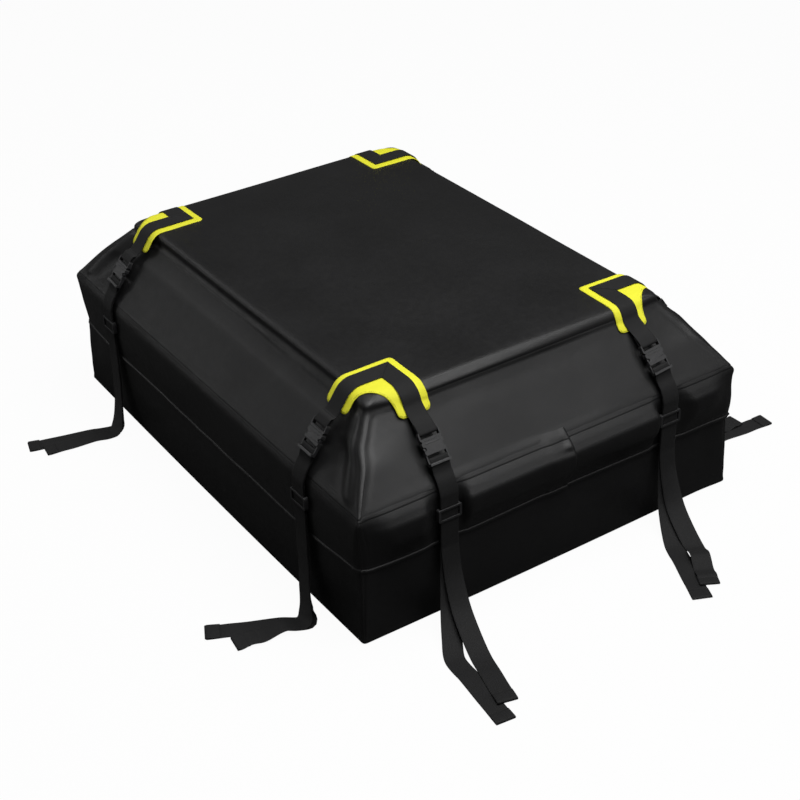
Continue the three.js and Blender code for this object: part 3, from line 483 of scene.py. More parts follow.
def flap_section(swell):
    """Half sizes, radius, z and wave share of the flap's rows, front face down, back face up."""
    def face(z, lift, radius, wave, crease=0.0):
        """On the slope, then round the shoulder, then down the wall, lifted off by lift."""
        halves = []
        for k, half in enumerate((WIDTH / 2, LENGTH / 2)):
            a = ANGLES[k]
            bend = 34 - swell * 0.85 if k else 58
            lift = lift - crease * k
            on_slope = half + (lift - (z - SHOULDER) * math.cos(a)) / math.sin(a)
            out = half + 3.4 + lift + swell
            centre = SHOULDER + (lift - (out - half) * math.sin(a)) / math.cos(a) - bend * math.tan(
                (math.pi / 2 - a) / 2)
            wall = out - 2.2 * (1 - ease(z, 155, 200)) - 0.85 * swell * (1 - ease(z, 152, 226))
            if z >= centre + bend * math.cos(a):
                halves.append(on_slope)
            elif z <= centre:
                halves.append(wall)
            else:
                halves.append(out - bend + math.sqrt(max(bend ** 2 - (z - centre) ** 2, 0)))
        return [*halves, radius, z, wave]

    high = SHOULDER + SEAM_UP * 0.78
    low = FLAP_LOW
    table = [(high + 0.4, -1.1, 7, 0), (high, -0.7, 7, 0), (282, -0.2, 7, 0), (276, 0.35, 7.5, 0),
             (270.8, 0.8, 8, 0), (269.6, 0.75, 8, 0, 0.4), (267, 1, 8.5, 0, 0.35),
             (263, 1.3, 9.5, 0.03, 0.15), (259, 1.5, 10.5, 0.05), (255, 1.6, 11.5, 0.08),
             (251, 1.7, 12.5, 0.11), (247, 1.7, 13.5, 0.15), (241, 1.7, 15, 0.24), (226, 1.6, 18, 0.4),
             (205, 1.6, 20, 0.6), (180, 1.5, 22, 0.85), (low + 8.4, 1.2, 23, 1), (low + 7.2, 1.5, 23, 1),
             (low + 6.4, 2.4, 23.6, 1), (low + 5, 3.2, 24, 1), (low + 3.2, 3.6, 24, 1),
             (low + 1.4, 3.1, 24, 1), (low + 0.2, 2, 23.5, 1), (low, 0.8, 23, 1),
             (low + 1.4, -0.3, 22.6, 1), (180, -0.3, 22, 0.85), (205, -0.2, 20, 0.6),
             (226, -0.2, 17, 0.4), (244, -0.2, 14, 0.2), (262, -0.2, 10, 0), (271, -0.2, 8, 0),
             (278, -0.4, 7, 0), (high, -0.8, 6.5, 0)]
    rows = [face(*row) for row in table]
    counts = [2, 2, 2, 3, 2, 2, 2, 2, 3, 3, 3, 3, 4, 4, 5, 4, 1, 2, 2, 2, 2, 2, 1, 1, 4, 4, 3, 3, 3, 2, 2, 2]
    return between(rows, counts)


def build_flap():
    cols, out = flap_columns()
    kind, side, value = cols
    run = half_run(side) - 32
    along = np.where(kind == 0, value * run, run + value * 50) + side * 5000
    from_corner = np.where(kind == 0, run * (1 - np.abs(value)), 0)
    forms = []
    for swell in (0, 22):
        rows = flap_section(swell)
        forms.append(np.array([outline(cols, hx, hy, r, z, out=out * ease(z, 288, 276))
                               for hx, hy, r, z, _ in rows]))
    spot = (forms[0][..., :2] * ALONG[side][None]).sum(axis=-1)
    held = np.zeros(spot.shape)
    for k, x, lean in STRAPS.values():
        under = 1 - ease(np.abs(spot - x - lean), 26, 48)
        held = np.maximum(held, np.where(side == k, under, 0))
    rising = 0.75 * ease(from_corner, -8, 62) + 0.25 * ease(from_corner, 40, 240)
    swollen = np.where(kind == 0, rising, 0) * (1 - held) * np.where(side % 2 == 0, 1, 0.08)
    grid = forms[0] + (forms[1] - forms[0]) * swollen[..., None]
    on_front = np.where(side == 0, 1 - 0.5 * ease(value, 0.2, -0.9) * (kind == 0), 0)
    near_corner = np.where((side == 3) & ((kind == 1) | (value > 0)), 1 - ease(from_corner, 0, 150), 0)
    on_left = np.where(side == 3, ease(from_corner, 0, 160), 0)
    droop = 5.5 * on_left - 10 * on_front - 7 * near_corner - 1.5 * noise(
        np.stack([along, 0 * along, 0 * along], -1), (260, 50, 50), 2)
    grid[..., 2] -= droop[None, :] * ease(grid[..., 2], 235, 150)
    z = grid[..., 2]
    place = np.stack(np.broadcast_arrays(along[None, :], z * 0.5, 0 * z), -1)
    hang = rows[:, 4:5]
    wave = 1.1 * noise(place, (150, 90, 50), 1) * hang + 0.55 * noise(place, (42, 70, 50), 3) * (0.3 + hang)
    wave = np.where(wave > 0, wave * (1 - held), wave)
    roll = 0.8 * noise(place, (95, 400, 50), 5) * bump(z, 262, 12)
    outward = np.where((kind == 0)[:, None], NORMAL[side],
                       NORMAL[side] * np.cos(value * math.pi / 2)[:, None]
                       + ALONG[side] * np.sin(value * math.pi / 2)[:, None])
    seam = np.where(kind == 1, 1.7 * bump(value, 0.5, 0.045), 0)[None, :] * ease(z, 280, 268)
    x_front = np.where((side == 0) & (kind == 0), value * run, 1e4)
    pucker = np.where(np.arange(len(value)) > len(value) - 30, 1, 0) * (
        2.4 * bump(x_front, 15, 6)[None, :] * bump(z, 262, 9)
        + 1.1 * np.sin(z / 2.9) * bump(x_front, 8, 9)[None, :] * bump(z, 258, 14))
    grid[..., :2] += (wave + roll + seam + pucker)[..., None] * outward[None]
    grid += ear(grid, cols, 267, 9, 3)
    grid += corner_push(grid, cols, 0, 8 * ease(z, 262, 170))
    grid += corner_push(grid, cols, 2, -5.5 * ease(z, 250, 155))
    grid += corner_push(grid, cols, 3, -3.5 * ease(z, 245, 165))
    uv_rows = [(WIDTH / 2, LENGTH / 2, 32)] * len(grid)
    flap = grid_object("storm_flap_cloth", grid, cols, uv_rows, wrap=False, close=True)
    cap = flap.data
    bm = bmesh.new()
    bm.from_mesh(cap)
    loose = [e for e in bm.edges if e.is_boundary]
    bmesh.ops.holes_fill(bm, edges=loose, sides=0)
    bm.to_mesh(cap)
    bm.free()
    return flap, grid, rows


lid = build_lid()
tub = build_tub()
flap, flap_grid, flap_rows = build_flap()
for piece in (lid, tub, flap):
    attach(piece, "bag")
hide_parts("lid_shell")
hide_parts("base_tub")
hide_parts("storm_flap")

# ---- materials


def material(name):
    mat = bpy.data.materials.new(name)
    mat.use_nodes = True
    tree = mat.node_tree
    return mat, tree, tree.nodes["Principled BSDF"]


def preset(n, values):
    """Sets a node's sockets and properties."""
    for key, value in values.items():
        if key in n.inputs:
            n.inputs[key].default_value = value
        else:
            setattr(n, key, value)
    return n


def node(tree, kind, **values):
    return preset(tree.nodes.new(kind), values)


def link(source, socket):
    socket.id_data.links.new(source, socket)


def feed(n, *values):
    """Gives each of a node's first sockets a number or a link."""
    for value, socket in zip(values, n.inputs):
        if isinstance(value, (int, float)):
            socket.default_value = value
        elif value is not None:
            link(value, socket)
    return n


def calc(operation, a, b=None, clamp=False):
    tree = (b if isinstance(a, float) else a).id_data
    n = node(tree, "ShaderNodeMath", operation=operation, use_clamp=clamp)
    return feed(n, a, b).outputs[0]


def times(a, b):
    return calc("MULTIPLY", a, b)


def sine(value, factor):
    return calc("SINE", times(value, factor))


def ramp(fac, low, high, a=0.0, b=1.0):
    reach = {"From Min": low, "From Max": high, "To Min": a, "To Max": b}
    n = node(fac.id_data, "ShaderNodeMapRange", **reach)
    return feed(n, fac).outputs[0]


def paint(shader, tone, dark, light, roughness):
    """Colours between dark and light by tone."""
    n = node(shader.id_data, "ShaderNodeMix", data_type="RGBA")
    n.inputs[6].default_value = (*dark, 1)
    n.inputs[7].default_value = (*light, 1)
    link(tone, n.inputs[0])
    link(n.outputs[2], shader.inputs["Base Color"])
    link(roughness, shader.inputs["Roughness"])


def bumps(shader, layers):
    """Chains bump nodes: (height, distance in m, strength)."""
    tree, last = shader.id_data, None
    for height, distance, strength in layers:
        n = node(tree, "ShaderNodeBump", Distance=distance, Strength=strength)
        link(height, n.inputs["Height"])
        if last:
            link(last, n.inputs["Normal"])
        last = n.outputs[0]
    link(last, shader.inputs["Normal"])


def noise_of(vector, scale, detail=3, roughness=0.55):
    n = node(vector.id_data, "ShaderNodeTexNoise", Scale=scale, Detail=detail, Roughness=roughness)
    link(vector, n.inputs["Vector"])
    return n.outputs["Fac"]


def split(vector):
    return feed(vector.id_data.nodes.new("ShaderNodeSeparateXYZ"), vector).outputs


def place_in(tree):
    return node(tree, "ShaderNodeTexCoord").outputs["Object"]


def cloth_place(tree):
    """The cloth's two own coordinates."""
    return split(node(tree, "ShaderNodeUVMap", uv_map="cloth").outputs[0])[:2]


def weave(tree, pitch):
    """Height of a plain weave of threads pitch metres apart."""
    a, b = (sine(way, math.pi / pitch) for way in cloth_place(tree))
    over = calc("GREATER_THAN", times(a, b), 0)
    under = calc("SUBTRACT", 1.0, over)
    warp, weft = calc("ABSOLUTE", a), calc("ABSOLUTE", b)
    return calc("ADD", times(warp, over), times(weft, under))


def cloth_material(name, dark, light, rough, pitch, strength, specular=0.5):
    """Coated polyester: a fine weave under a satin film, with soft variation and scuffs."""
    mat, tree, shader = material(name)
    place = place_in(tree)
    threads = weave(tree, pitch)
    soft = noise_of(place, 5, 4)
    fine = noise_of(place, 60, 5, 0.65)
    scuff = noise_of(place, 28, 8, 0.75)
    tone = calc("ADD", times(ramp(soft, 0.3, 0.7), 0.7),
                times(ramp(scuff, 0.62, 0.75), 0.3), True)
    gloss = calc("ADD", ramp(fine, 0.3, 0.7, rough - 0.05, rough + 0.06),
                 ramp(soft, 0.3, 0.7, -0.03, 0.04))
    paint(shader, tone, dark, light, gloss)
    shader.inputs["Specular IOR Level"].default_value = specular
    bumps(shader, [(fine, 0.0006, 0.35), (threads, 0.00022, strength)])
    return mat


def webbing_material(name, dark, light):
    """Ribbed webbing: rows of slanted floats along its length."""
    mat, tree, shader = material(name)
    u, v = cloth_place(tree)
    place = place_in(tree)
    rows = sine(u, math.pi / 0.0024)
    slant = times(times(u, calc("SIGN", rows)), 1.2)
    wave = sine(calc("ADD", v, slant), 2 * math.pi / 0.0026)
    floats = times(calc("ABSOLUTE", rows), ramp(wave, -1, 1, 0.45, 1))
    fine = noise_of(place, 900, 4, 0.7)
    soft = noise_of(place, 14, 3)
    tone = calc("ADD", times(floats, 0.55), times(ramp(fine, 0.3, 0.7), 0.45), True)
    tone = times(tone, ramp(soft, 0.3, 0.7, 0.7, 1.0))
    paint(shader, tone, dark, light, ramp(fine, 0.3, 0.7, 0.62, 0.82))
    preset(shader, {"Specular IOR Level": 0.4, "Sheen Weight": 0.04, "Sheen Roughness": 0.45})
    bumps(shader, [(floats, 0.0005, 0.8), (fine, 0.0002, 0.4)])
    return mat


def plastic_material(name, colour, rough, metal=0.0):
    """Moulded plastic or lacquered metal with a fine grain and faint wear."""
    mat, tree, shader = material(name)
    place = place_in(tree)
    grain = noise_of(place, 2600, 2, 0.6)
    worn = noise_of(place, 120, 6, 0.7)
    pale = tuple(min(1, c * 1.9 + 0.008) for c in colour)
    tone = calc("ADD", times(ramp(worn, 0.45, 0.75), 0.5), times(grain, 0.25), True)
    paint(shader, tone, colour, pale, ramp(worn, 0.3, 0.75, rough - 0.05, rough + 0.12))
    shader.inputs["Metallic"].default_value = metal
    bumps(shader, [(grain, 0.00012, 0.5), (worn, 0.0003, 0.15)])
    return mat


def zip_material(name):
    """Coil and tape: turns of nylon across the tape, a fine weave beside them."""
    mat, tree, shader = material(name)
    place = place_in(tree)
    x, y, z = split(place)
    teeth = sine(calc("ADD", x, y), 2 * math.pi / 0.0024)
    coil = calc("LESS_THAN", calc("ABSOLUTE", calc("SUBTRACT", z, 0.219)), 0.0031)
    fine = noise_of(place, 1500, 3)
    height = calc("ADD", times(teeth, coil), fine)
    paint(shader, ramp(height, -0.5, 1.5), (0.006, 0.006, 0.006), (0.03, 0.03, 0.031),
          ramp(fine, 0.3, 0.7, 0.4, 0.6))
    bumps(shader, [(height, 0.0005, 0.7)])
    return mat


COATED = cloth_material("coated_polyester", (0.007, 0.007, 0.0072), (0.0115, 0.0115, 0.012), 0.4, 0.0011, 0.3)
FLAP = cloth_material("flap_polyester", (0.0065, 0.0065, 0.0067), (0.0105, 0.0105, 0.011), 0.42, 0.0011, 0.3)
BRIGHT = cloth_material("hi_vis_tape", (0.90, 0.88, 0.035), (0.97, 0.95, 0.06), 0.6, 0.0009, 0.35, 0.3)
WEBBING = webbing_material("ribbed_webbing", (0.0032, 0.0032, 0.0034), (0.0108, 0.0108, 0.0113))
ACETAL = plastic_material("moulded_acetal", (0.021, 0.021, 0.022), 0.3)
ZINC = plastic_material("lacquered_zinc", (0.06, 0.06, 0.064), 0.34, 0.85)
COIL = zip_material("nylon_coil")
THREAD = plastic_material("bonded_thread", (0.018, 0.018, 0.019), 0.5)
for piece, finish in ((lid, COATED), (tub, COATED), (flap, FLAP)):
    piece.data.materials.append(finish)


def background_rays(tree):
    """The rays that see a white background: the camera's, and those through glass or off bright metal."""
    path = tree.nodes.new("ShaderNodeLightPath")
    sharp = calc("MULTIPLY", path.outputs["Is Glossy Ray"], path.outputs["Is Singular Ray"])
    straight = calc("MAXIMUM", path.outputs["Is Camera Ray"], path.outputs["Is Transmission Ray"])
    return calc("MAXIMUM", straight, sharp)


WHITE = (1, 1, 1, 1)


def mix_shader(tree, share, low, high):
    return feed(tree.nodes.new("ShaderNodeMixShader"), share, low.outputs[0], high.outputs[0])


def stage_and_light():
    """A pale floor that is white to the camera, and plain soft lights."""
    bpy.ops.mesh.primitive_plane_add(size=24)
    floor = bpy.context.object
    floor.name = "studio_floor"
    mat, tree, shader = material("pale_floor")
    preset(shader, {"Base Color": (0.86, 0.86, 0.86, 1), "Roughness": 0.9, "Specular IOR Level": 0.1})
    white = node(tree, "ShaderNodeEmission", Color=WHITE, Strength=1.0)
    dim = node(tree, "ShaderNodeBsdfDiffuse", Color=(0.06, 0.06, 0.06, 1))
    lift = mix_shader(tree, 0.96, shader, white)
    link(mix_shader(tree, background_rays(tree), dim, lift).outputs[0],
         tree.nodes["Material Output"].inputs["Surface"])
    floor.data.materials.append(mat)

    world = bpy.data.worlds.new("studio")
    bpy.context.scene.world = world
    world.use_nodes = True
    tree = world.node_tree
    tree.nodes.clear()
    seen = node(tree, "ShaderNodeBackground", Color=WHITE, Strength=1.0)
    fill = node(tree, "ShaderNodeBackground", Color=WHITE, Strength=0.09)
    mixed = mix_shader(tree, background_rays(tree), fill, seen)
    feed(tree.nodes.new("ShaderNodeOutputWorld"), mixed.outputs[0])

    def softbox(name, place, target, size, power):
        data = bpy.data.lights.new(name, "AREA")
        data.shape = "RECTANGLE"
        data.size, data.size_y = size
        data.energy = power
        lamp = bpy.data.objects.new(name, data)
        bpy.context.scene.collection.objects.link(lamp)
        lamp.location = place
        lamp.rotation_euler = (Vector(target) - Vector(place)).to_track_quat("-Z", "Y").to_euler()

    softbox("top_light", (0.3, -1.0, 3.3), (0, 0, 0.3), (2.5, 2.5), 98)
    softbox("right_light", (1.9, -2.7, 2.6), (0, 0, 0.3), (2.0, 2.0), 14)
    softbox("left_light", (-2.6, 2.6, 0.7), (0, 0, 0.3), (1.6, 1.0), 5.5)
    softbox("back_light", (-1.1, 2.4, 2.3), (0, 0, 0.4), (0.9, 0.9), 6.5)


stage_and_light()

# ---- where the straps lie

FRONT_TAILS = [
    {"drift": (-72, -35), "landing": (120, 154), "heading": (-6.5, -14), "lie": (300, 266), "hump": (1, 1)},
    {"drift": (-56, -28), "landing": (108, 134), "heading": (-24, -29), "lie": (256, 236), "hump": (2, 12)}]
SIDE_TAILS = [
    {"drift": (60, 70), "landing": (46, 60), "heading": (-14, -7), "lie": (238, 216), "hump": (1, 2)},
    {"drift": (72, 66), "landing": (40, 54), "heading": (-26, -8), "lie": (216, 190), "hump": (2, 9)},
    {"drift": (-62, -46), "landing": (56, 72), "heading": (-4, 2), "lie": (238, 182), "hump": (3, 12)}]
TAILS = {"front_left": FRONT_TAILS[0], "front_right": FRONT_TAILS[1], "right_front": SIDE_TAILS[2],
         "right_back": SIDE_TAILS[1], "back_right": FRONT_TAILS[0], "back_left": FRONT_TAILS[1],
         "left_back": SIDE_TAILS[0], "left_front": SIDE_TAILS[1]}
GAP, THICK = 0.3, 1.6
BUCKLE, STAND_OFF, LADDER = 38, 13, 48.5
MOUTH = BUCKLE + 20 + 24
PLUG_BAR = MOUTH + GAP + 17 - 2.2 - 0.6
BAR = 2.2
REAR_OUT = FLAP_OUT + 4.6
FRONT_OUT = REAR_OUT + 2.6
STRAIGHT_TO = 150


def frames_of(name):
    """Turns of a strap's wall, slope and buckle into the bag's frame, in mm."""
    side, x, lean = STRAPS[name]
    run = HALF_ACROSS[side] - TOP_HALF[side]
    angle, length = math.atan2(RISE, run), math.hypot(RISE, run)
    wall = Matrix.Rotation(TURN[side], 4, "Z") @ Matrix.Translation((x, -HALF_ACROSS[side], 0))
    slope = wall @ Matrix.Translation((0, 0, SHOULDER)) @ Matrix.Rotation(angle, 4, "X")
    hang = slope @ Matrix.Translation((0, length, 0)) @ Matrix.Rotation(math.asin(lean / length), 4, "Z")
    buckle = hang @ Matrix.Translation((0, -length, 0))
    return {"wall": wall, "buckle": buckle, "length": length, "lean": lean, "side": side, "x": x}


def put(matrix, *place):
    return np.array(matrix @ Vector(place))


def direction(matrix, *way):
    return np.array(matrix.to_3x3() @ Vector(way)).astype(float)


SELVEDGE = [(-1, 0.3), (-0.97, 0.8), (-0.86, 1), (-0.6, 1), (-0.3, 1), (0, 1), (0.3, 1), (0.6, 1), (0.86, 1),
            (0.97, 0.8), (1, 0.3)]
WEB_THICK = 1.5


def ribbon_object(name, path, across, cup=0.0, keep=None, start_cut=None):
    """Webbing along a path: 11 points across, thinner at its two selvedges, closed all round."""
    path = np.asarray(path, float)
    across = np.asarray(across, float)
    along = np.gradient(path, axis=0)
    along /= np.maximum(np.linalg.norm(along, axis=1, keepdims=True), 1e-9)
    across = across - (across * along).sum(1, keepdims=True) * along
    across /= np.linalg.norm(across, axis=1, keepdims=True)
    face = np.cross(across, along)
    share, half = np.array(SELVEDGE).T
    ring_a = np.concatenate([share, share[::-1]])
    ring_h = np.concatenate([-half, half[::-1]])
    s = lengths(path)
    u = ring_a * WEB / 2
    places = path[:, None] + across[:, None] * u[None, :, None]
    if start_cut is not None:
        places = places + along[:, None] * start_cut(s, ring_a)[..., None]
    height = ring_h[None] * WEB_THICK / 2 + np.broadcast_to(cup, len(path))[:, None] * (ring_a ** 2)[None]
    places = places + face[:, None] * height[..., None]
    if keep is not None:
        places = keep(places, face, ring_h)
    n, m = len(path), len(ring_a)
    after = np.roll(u, -1)[None]
    uv = quad_uvs(u[None], after, after, u[None], s[:-1, None], s[1:, None])
    ends = [list(range(m))[::-1], list(range((n - 1) * m, n * m))]
    faces = [tuple(f) for f in quads(n, m, n - 1, m).reshape(-1, 4)] + ends
    end_uv = [(u[k], 0) for k in ends[0]] + [(u[k - (n - 1) * m], s[-1]) for k in ends[1]]
    obj = new_object(name, places.reshape(-1, 3), faces, np.vstack([uv.reshape(-1, 2), end_uv]))
    obj.data.materials.append(WEBBING)
    return obj, s[-1]


def tail(name, layer, frames):
    """From the flap's foot to the ground and out along it, in the strap's wall frame."""
    t = TAILS[name]
    x = frames["lean"]
    out = (REAR_OUT, FRONT_OUT)[layer]
    drift, landing, lie = t["drift"][layer], t["landing"][layer], t["lie"][layer]
    heading = math.radians(t["heading"][layer])
    reach = landing - out
    height = THICK / 2 + 0.2 + layer * (THICK + 0.8)
    rest = lie - landing

    def bend(share, z):
        return [x + drift * share, -out - reach * share, z]

    def lying(share, lift=0.0):
        return [x + drift + rest * share * math.tan(heading), -landing - rest * share, height + lift]

    points = [bend(0, STRAIGHT_TO), bend(0.1, STRAIGHT_TO * 0.68), bend(0.36, STRAIGHT_TO * 0.32),
              bend(0.74, STRAIGHT_TO * 0.08 + height), lying(0.04), lying(0.32, t["hump"][layer]),
              lying(0.62, 0.3), lying(0.8, t["hump"][layer] * 0.4),
              lying(1 - 9 / rest), lying(1, 0.5), lying(1 + 1.2 / rest, 1.6), lying(1, 2.9),
              lying(1 - 9 / rest, 3.1), lying(1 - 24 / rest, 2.2)]
    path = curve_through(points, 4)
    path[:, 2] = np.maximum(path[:, 2], height)
    share = ease(STRAIGHT_TO - path[:, 2], STRAIGHT_TO * 0.2, STRAIGHT_TO)
    turned = heading * share
    across = np.column_stack([np.cos(turned), np.sin(turned), 0 * turned])
    return path, across


def keep_up(places, face, ring_h):
    """Lifts webbing that would reach into the ground."""
    up = np.where(face[:, 2] < 0, -1, 1)[:, None]
    least = 0.2 + 0.75 * (1 + ring_h[None] * up)
    places[..., 2] = np.maximum(places[..., 2], least)
    return places


def hanging_strap(name):
    """One length of webbing: hemmed end, up behind, round the socket's bar, down in front."""
    f = frames_of(name)
    into_wall = f["wall"].inverted()
    leaning = direction(into_wall @ f["buckle"], 1, 0, 0)
    level = np.array([1.0, 0, 0])

    def on_slope(y, z):
        return put(into_wall @ f["buckle"], 0, y, z)

    def at_wall(out, z):
        return np.array([f["lean"], -out, z], float)

    def over(out, lift):
        return [at_wall(out, STRAIGHT_TO), at_wall(out, 162), at_wall(out, SHOULDER - 24),
                at_wall(out, SHOULDER - 12), on_slope(6.08, lift), on_slope(23.9, lift + 1)]

    round_bar = BAR + GAP + THICK / 2
    bar = [on_slope(y, z) for y, z in turn_points(LADDER, STAND_OFF, round_bar, -90, 90, 10)]
    behind = curve_through(over(REAR_OUT, 7.4) + [bar[0]], 4)[1:-1]
    before = curve_through(over(FRONT_OUT, 10) + [on_slope(39, 15), bar[-1]], 4)[::-1][1:-1]
    low, low_across = tail(name, 0, f)
    high, high_across = tail(name, 1, f)
    middle = np.vstack([behind, bar, before])
    blend = ease(middle[:, 2], SHOULDER - 8, SHOULDER + 16)[:, None]
    path = np.vstack([low[::-1], middle, high])
    across = np.vstack([low_across[::-1], level * (1 - blend) + leaning * blend, high_across])
    s = lengths(path)
    hanging = ease(path[:, 2], 3, 50) * (1 - ease(path[:, 2], 80, 138))
    height = path[:, 2]
    own = 0 * height + 40 * f["side"] + f["x"]
    ripple = noise(np.column_stack([height, 0 * height, own]), (48, 50, 50), 3)
    path[:, 1] -= 2.4 * hanging * ripple
    cup = 1.2 * hanging * noise(np.column_stack([s, 0 * s, 0 * s + 50 * f["side"]]), (120, 50, 50), 1)
    world = np.array([put(f["wall"], *p) for p in path])
    ways = np.array([direction(f["wall"], *a) for a in across])
    obj, length = ribbon_object(f"webbing_{name}", world, ways, cup=cup, keep=keep_up)
    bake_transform(obj)
    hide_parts(f"strap_{name}")


for strap in STRAPS:
    hanging_strap(strap)

# ---- corner patches and webbing

lid.data.update()
LID_TREE = BVHTree.FromPolygons([v.co.copy() for v in lid.data.vertices],
                                [p.vertices[:] for p in lid.data.polygons])


ROLL = 34  # radius at which the patches and their webbing turn down over the top's edge
TURN_IN = [ROLL * math.tan(angle / 2) for angle in ANGLES]


def fold_down(angle, s):
    """How far out and down a strip lies, and its slant, at a distance s past the turn's start."""
    turned = s / ROLL
    if turned < angle:
        return ROLL * math.sin(turned), -ROLL * (1 - math.cos(turned)), turned
    rest = s - ROLL * angle
    out, drop = ROLL * math.sin(angle), -ROLL * (1 - math.cos(angle))
    return out + rest * math.cos(angle), drop - rest * math.sin(angle), angle


def height_at(place, normal):
    """How far the lid's cloth stands off a place, along a normal."""
    hit = LID_TREE.ray_cast((place + normal * 16) * MM, -normal, 0.05)
    return (hit[0] / MM - place).dot(normal) if hit[0] is not None else 0


def on_bag(x, y, lift):
    """A point of the patches' unfolded plane, laid on the lid at a height off it."""
    sx, sy = math.copysign(1, x), math.copysign(1, y)
    edge_x, edge_y = TOP_WIDTH / 2 - TURN_IN[0], TOP_LENGTH / 2 - TURN_IN[1]
    over_x, over_y = abs(x) - edge_x, abs(y) - edge_y
    if over_y > 0 and over_y >= over_x:
        out, drop, slant = fold_down(ANGLES[1], over_y)
        place = Vector((x, sy * (edge_y + out), TOP + drop))
        normal = Vector((0, sy * math.sin(slant), math.cos(slant)))
    elif over_x > 0:
        out, drop, slant = fold_down(ANGLES[0], over_x)
        place = Vector((sx * (edge_x + out), y, TOP + drop))
        normal = Vector((sx * math.sin(slant), 0, math.cos(slant)))
    else:
        place, normal = Vector((x, y, TOP)), Vector((0, 0, 1))
    down = normal.cross(Vector((0, 1, 0)) if over_x > over_y else Vector((1, 0, 0))).normalized()
    off = max(height_at(place + down * step, normal) - step * step / 60 for step in (-9, -6, -3, 0, 3, 6, 9))
    return place + normal * (max(off, 0) + lift), normal


def patch_outline(half, fillet, drop, rounding):
    """The L of one quarter in its unfolded plane, from its point out to both rounded ends."""
    in_x, in_y = END_X - half, SIDE_Y - half
    out_x, out_y = END_X + half, SIDE_Y + half
    far_y = TOP_LENGTH / 2 - TURN_IN[1] + drop[0]
    far_x = TOP_WIDTH / 2 - TURN_IN[0] + drop[1]
    arcs = [(in_x + 8, in_y + 8, 8, 180, 270, 6),
            (far_x - rounding, in_y + rounding, rounding, -90, 0, 6),
            (far_x - rounding, out_y - rounding, rounding, 0, 90, 6),
            (out_x + fillet, out_y + fillet, fillet, 270, 180, 20),
            (out_x - rounding, far_y - rounding, rounding, 0, 90, 6),
            (in_x + rounding, far_y - rounding, rounding, 90, 180, 6)]
    points = [point for turned in arcs for point in turn_points(*turned)]
    dense = []
    for a, b in zip(points, points[1:] + points[:1]):
        n = max(int(math.dist(a, b) / 3), 1)
        dense += [(a[0] + (b[0] - a[0]) * k / n, a[1] + (b[1] - a[1]) * k / n) for k in range(n)]
    return dense


def edge_distance(points, loop):
    a = np.array(loop)
    b = np.roll(a, -1, axis=0)
    d = b - a
    p = np.asarray(points)[:, None]
    t = np.clip(((p - a) * d).sum(-1) / np.maximum((d * d).sum(-1), 1e-9), 0, 1)
    return np.linalg.norm(p - (a + d * t[..., None]), axis=-1).min(axis=1)


def corner_patch(name, signs):
    """A bright cloth L, hemmed and sewn down all round, over the rail and down both slopes."""
    loop = patch_outline(WEB / 2 + 15, 64, (69, 61), 11)
    low, high = np.min(loop, axis=0), np.max(loop, axis=0)
    xs, ys = np.meshgrid(np.arange(low[0] + 2, high[0], 3.2), np.arange(low[1] + 2, high[1], 3.2))
    inner = np.column_stack([xs.ravel(), ys.ravel()])
    (x, y), (x2, y2) = np.array(loop).T, np.roll(loop, -1, axis=0).T
    px, py = inner[:, :1], inner[:, 1:]
    crosses = ((y > py) != (y2 > py)) & (px < (x2 - x) * (py - y) / np.where(y2 == y, 1e-9, y2 - y) + x)
    inner = inner[crosses.sum(axis=1) % 2 == 1]
    inner = inner[edge_distance(inner, loop) > 1.6]
    plane = [Vector(p) for p in loop + inner.tolist()]
    count = len(loop)
    edges = [(i, (i + 1) % count) for i in range(count)]
    verts, _, faces, _, _, _ = delaunay_2d_cdt(plane, edges, [list(range(count))], 1, 1e-6)
    flat = np.array([tuple(v) for v in verts])
    away = edge_distance(flat, loop)
    top, bottom = [], []
    for (x, y), d in zip(flat, away):
        sag = 0.5 * math.exp(-((d - 3.2) / 0.9) ** 2)
        lift = 1.5 - 0.8 * math.exp(-(d / 0.7) ** 2) - sag
        place, normal = on_bag(signs[0] * x, signs[1] * y, lift)
        top.append(place)
        bottom.append(place - normal * 1.1)
    n = len(flat)
    faces = [list(f) for f in faces]
    if signs[0] * signs[1] < 0:
        faces = [f[::-1] for f in faces]
    rim = dict.fromkeys((a, b) for f in faces for a, b in zip(f, f[1:] + f[:1]))
    border = [(a, b) for a, b in rim if (b, a) not in rim]
    skin = faces + [[v + n for v in f[::-1]] for f in faces] + [[b, a, a + n, b + n] for a, b in border]
    uv = [tuple(flat[v % n]) for f in skin for v in f]
    obj = new_object(f"bright_patch_{name}", np.array([tuple(p) for p in top + bottom]), skin, uv)
    obj.data.materials.append(BRIGHT)
    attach(obj, "bag")
    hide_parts(f"corner_patch_{name}")
    return loop


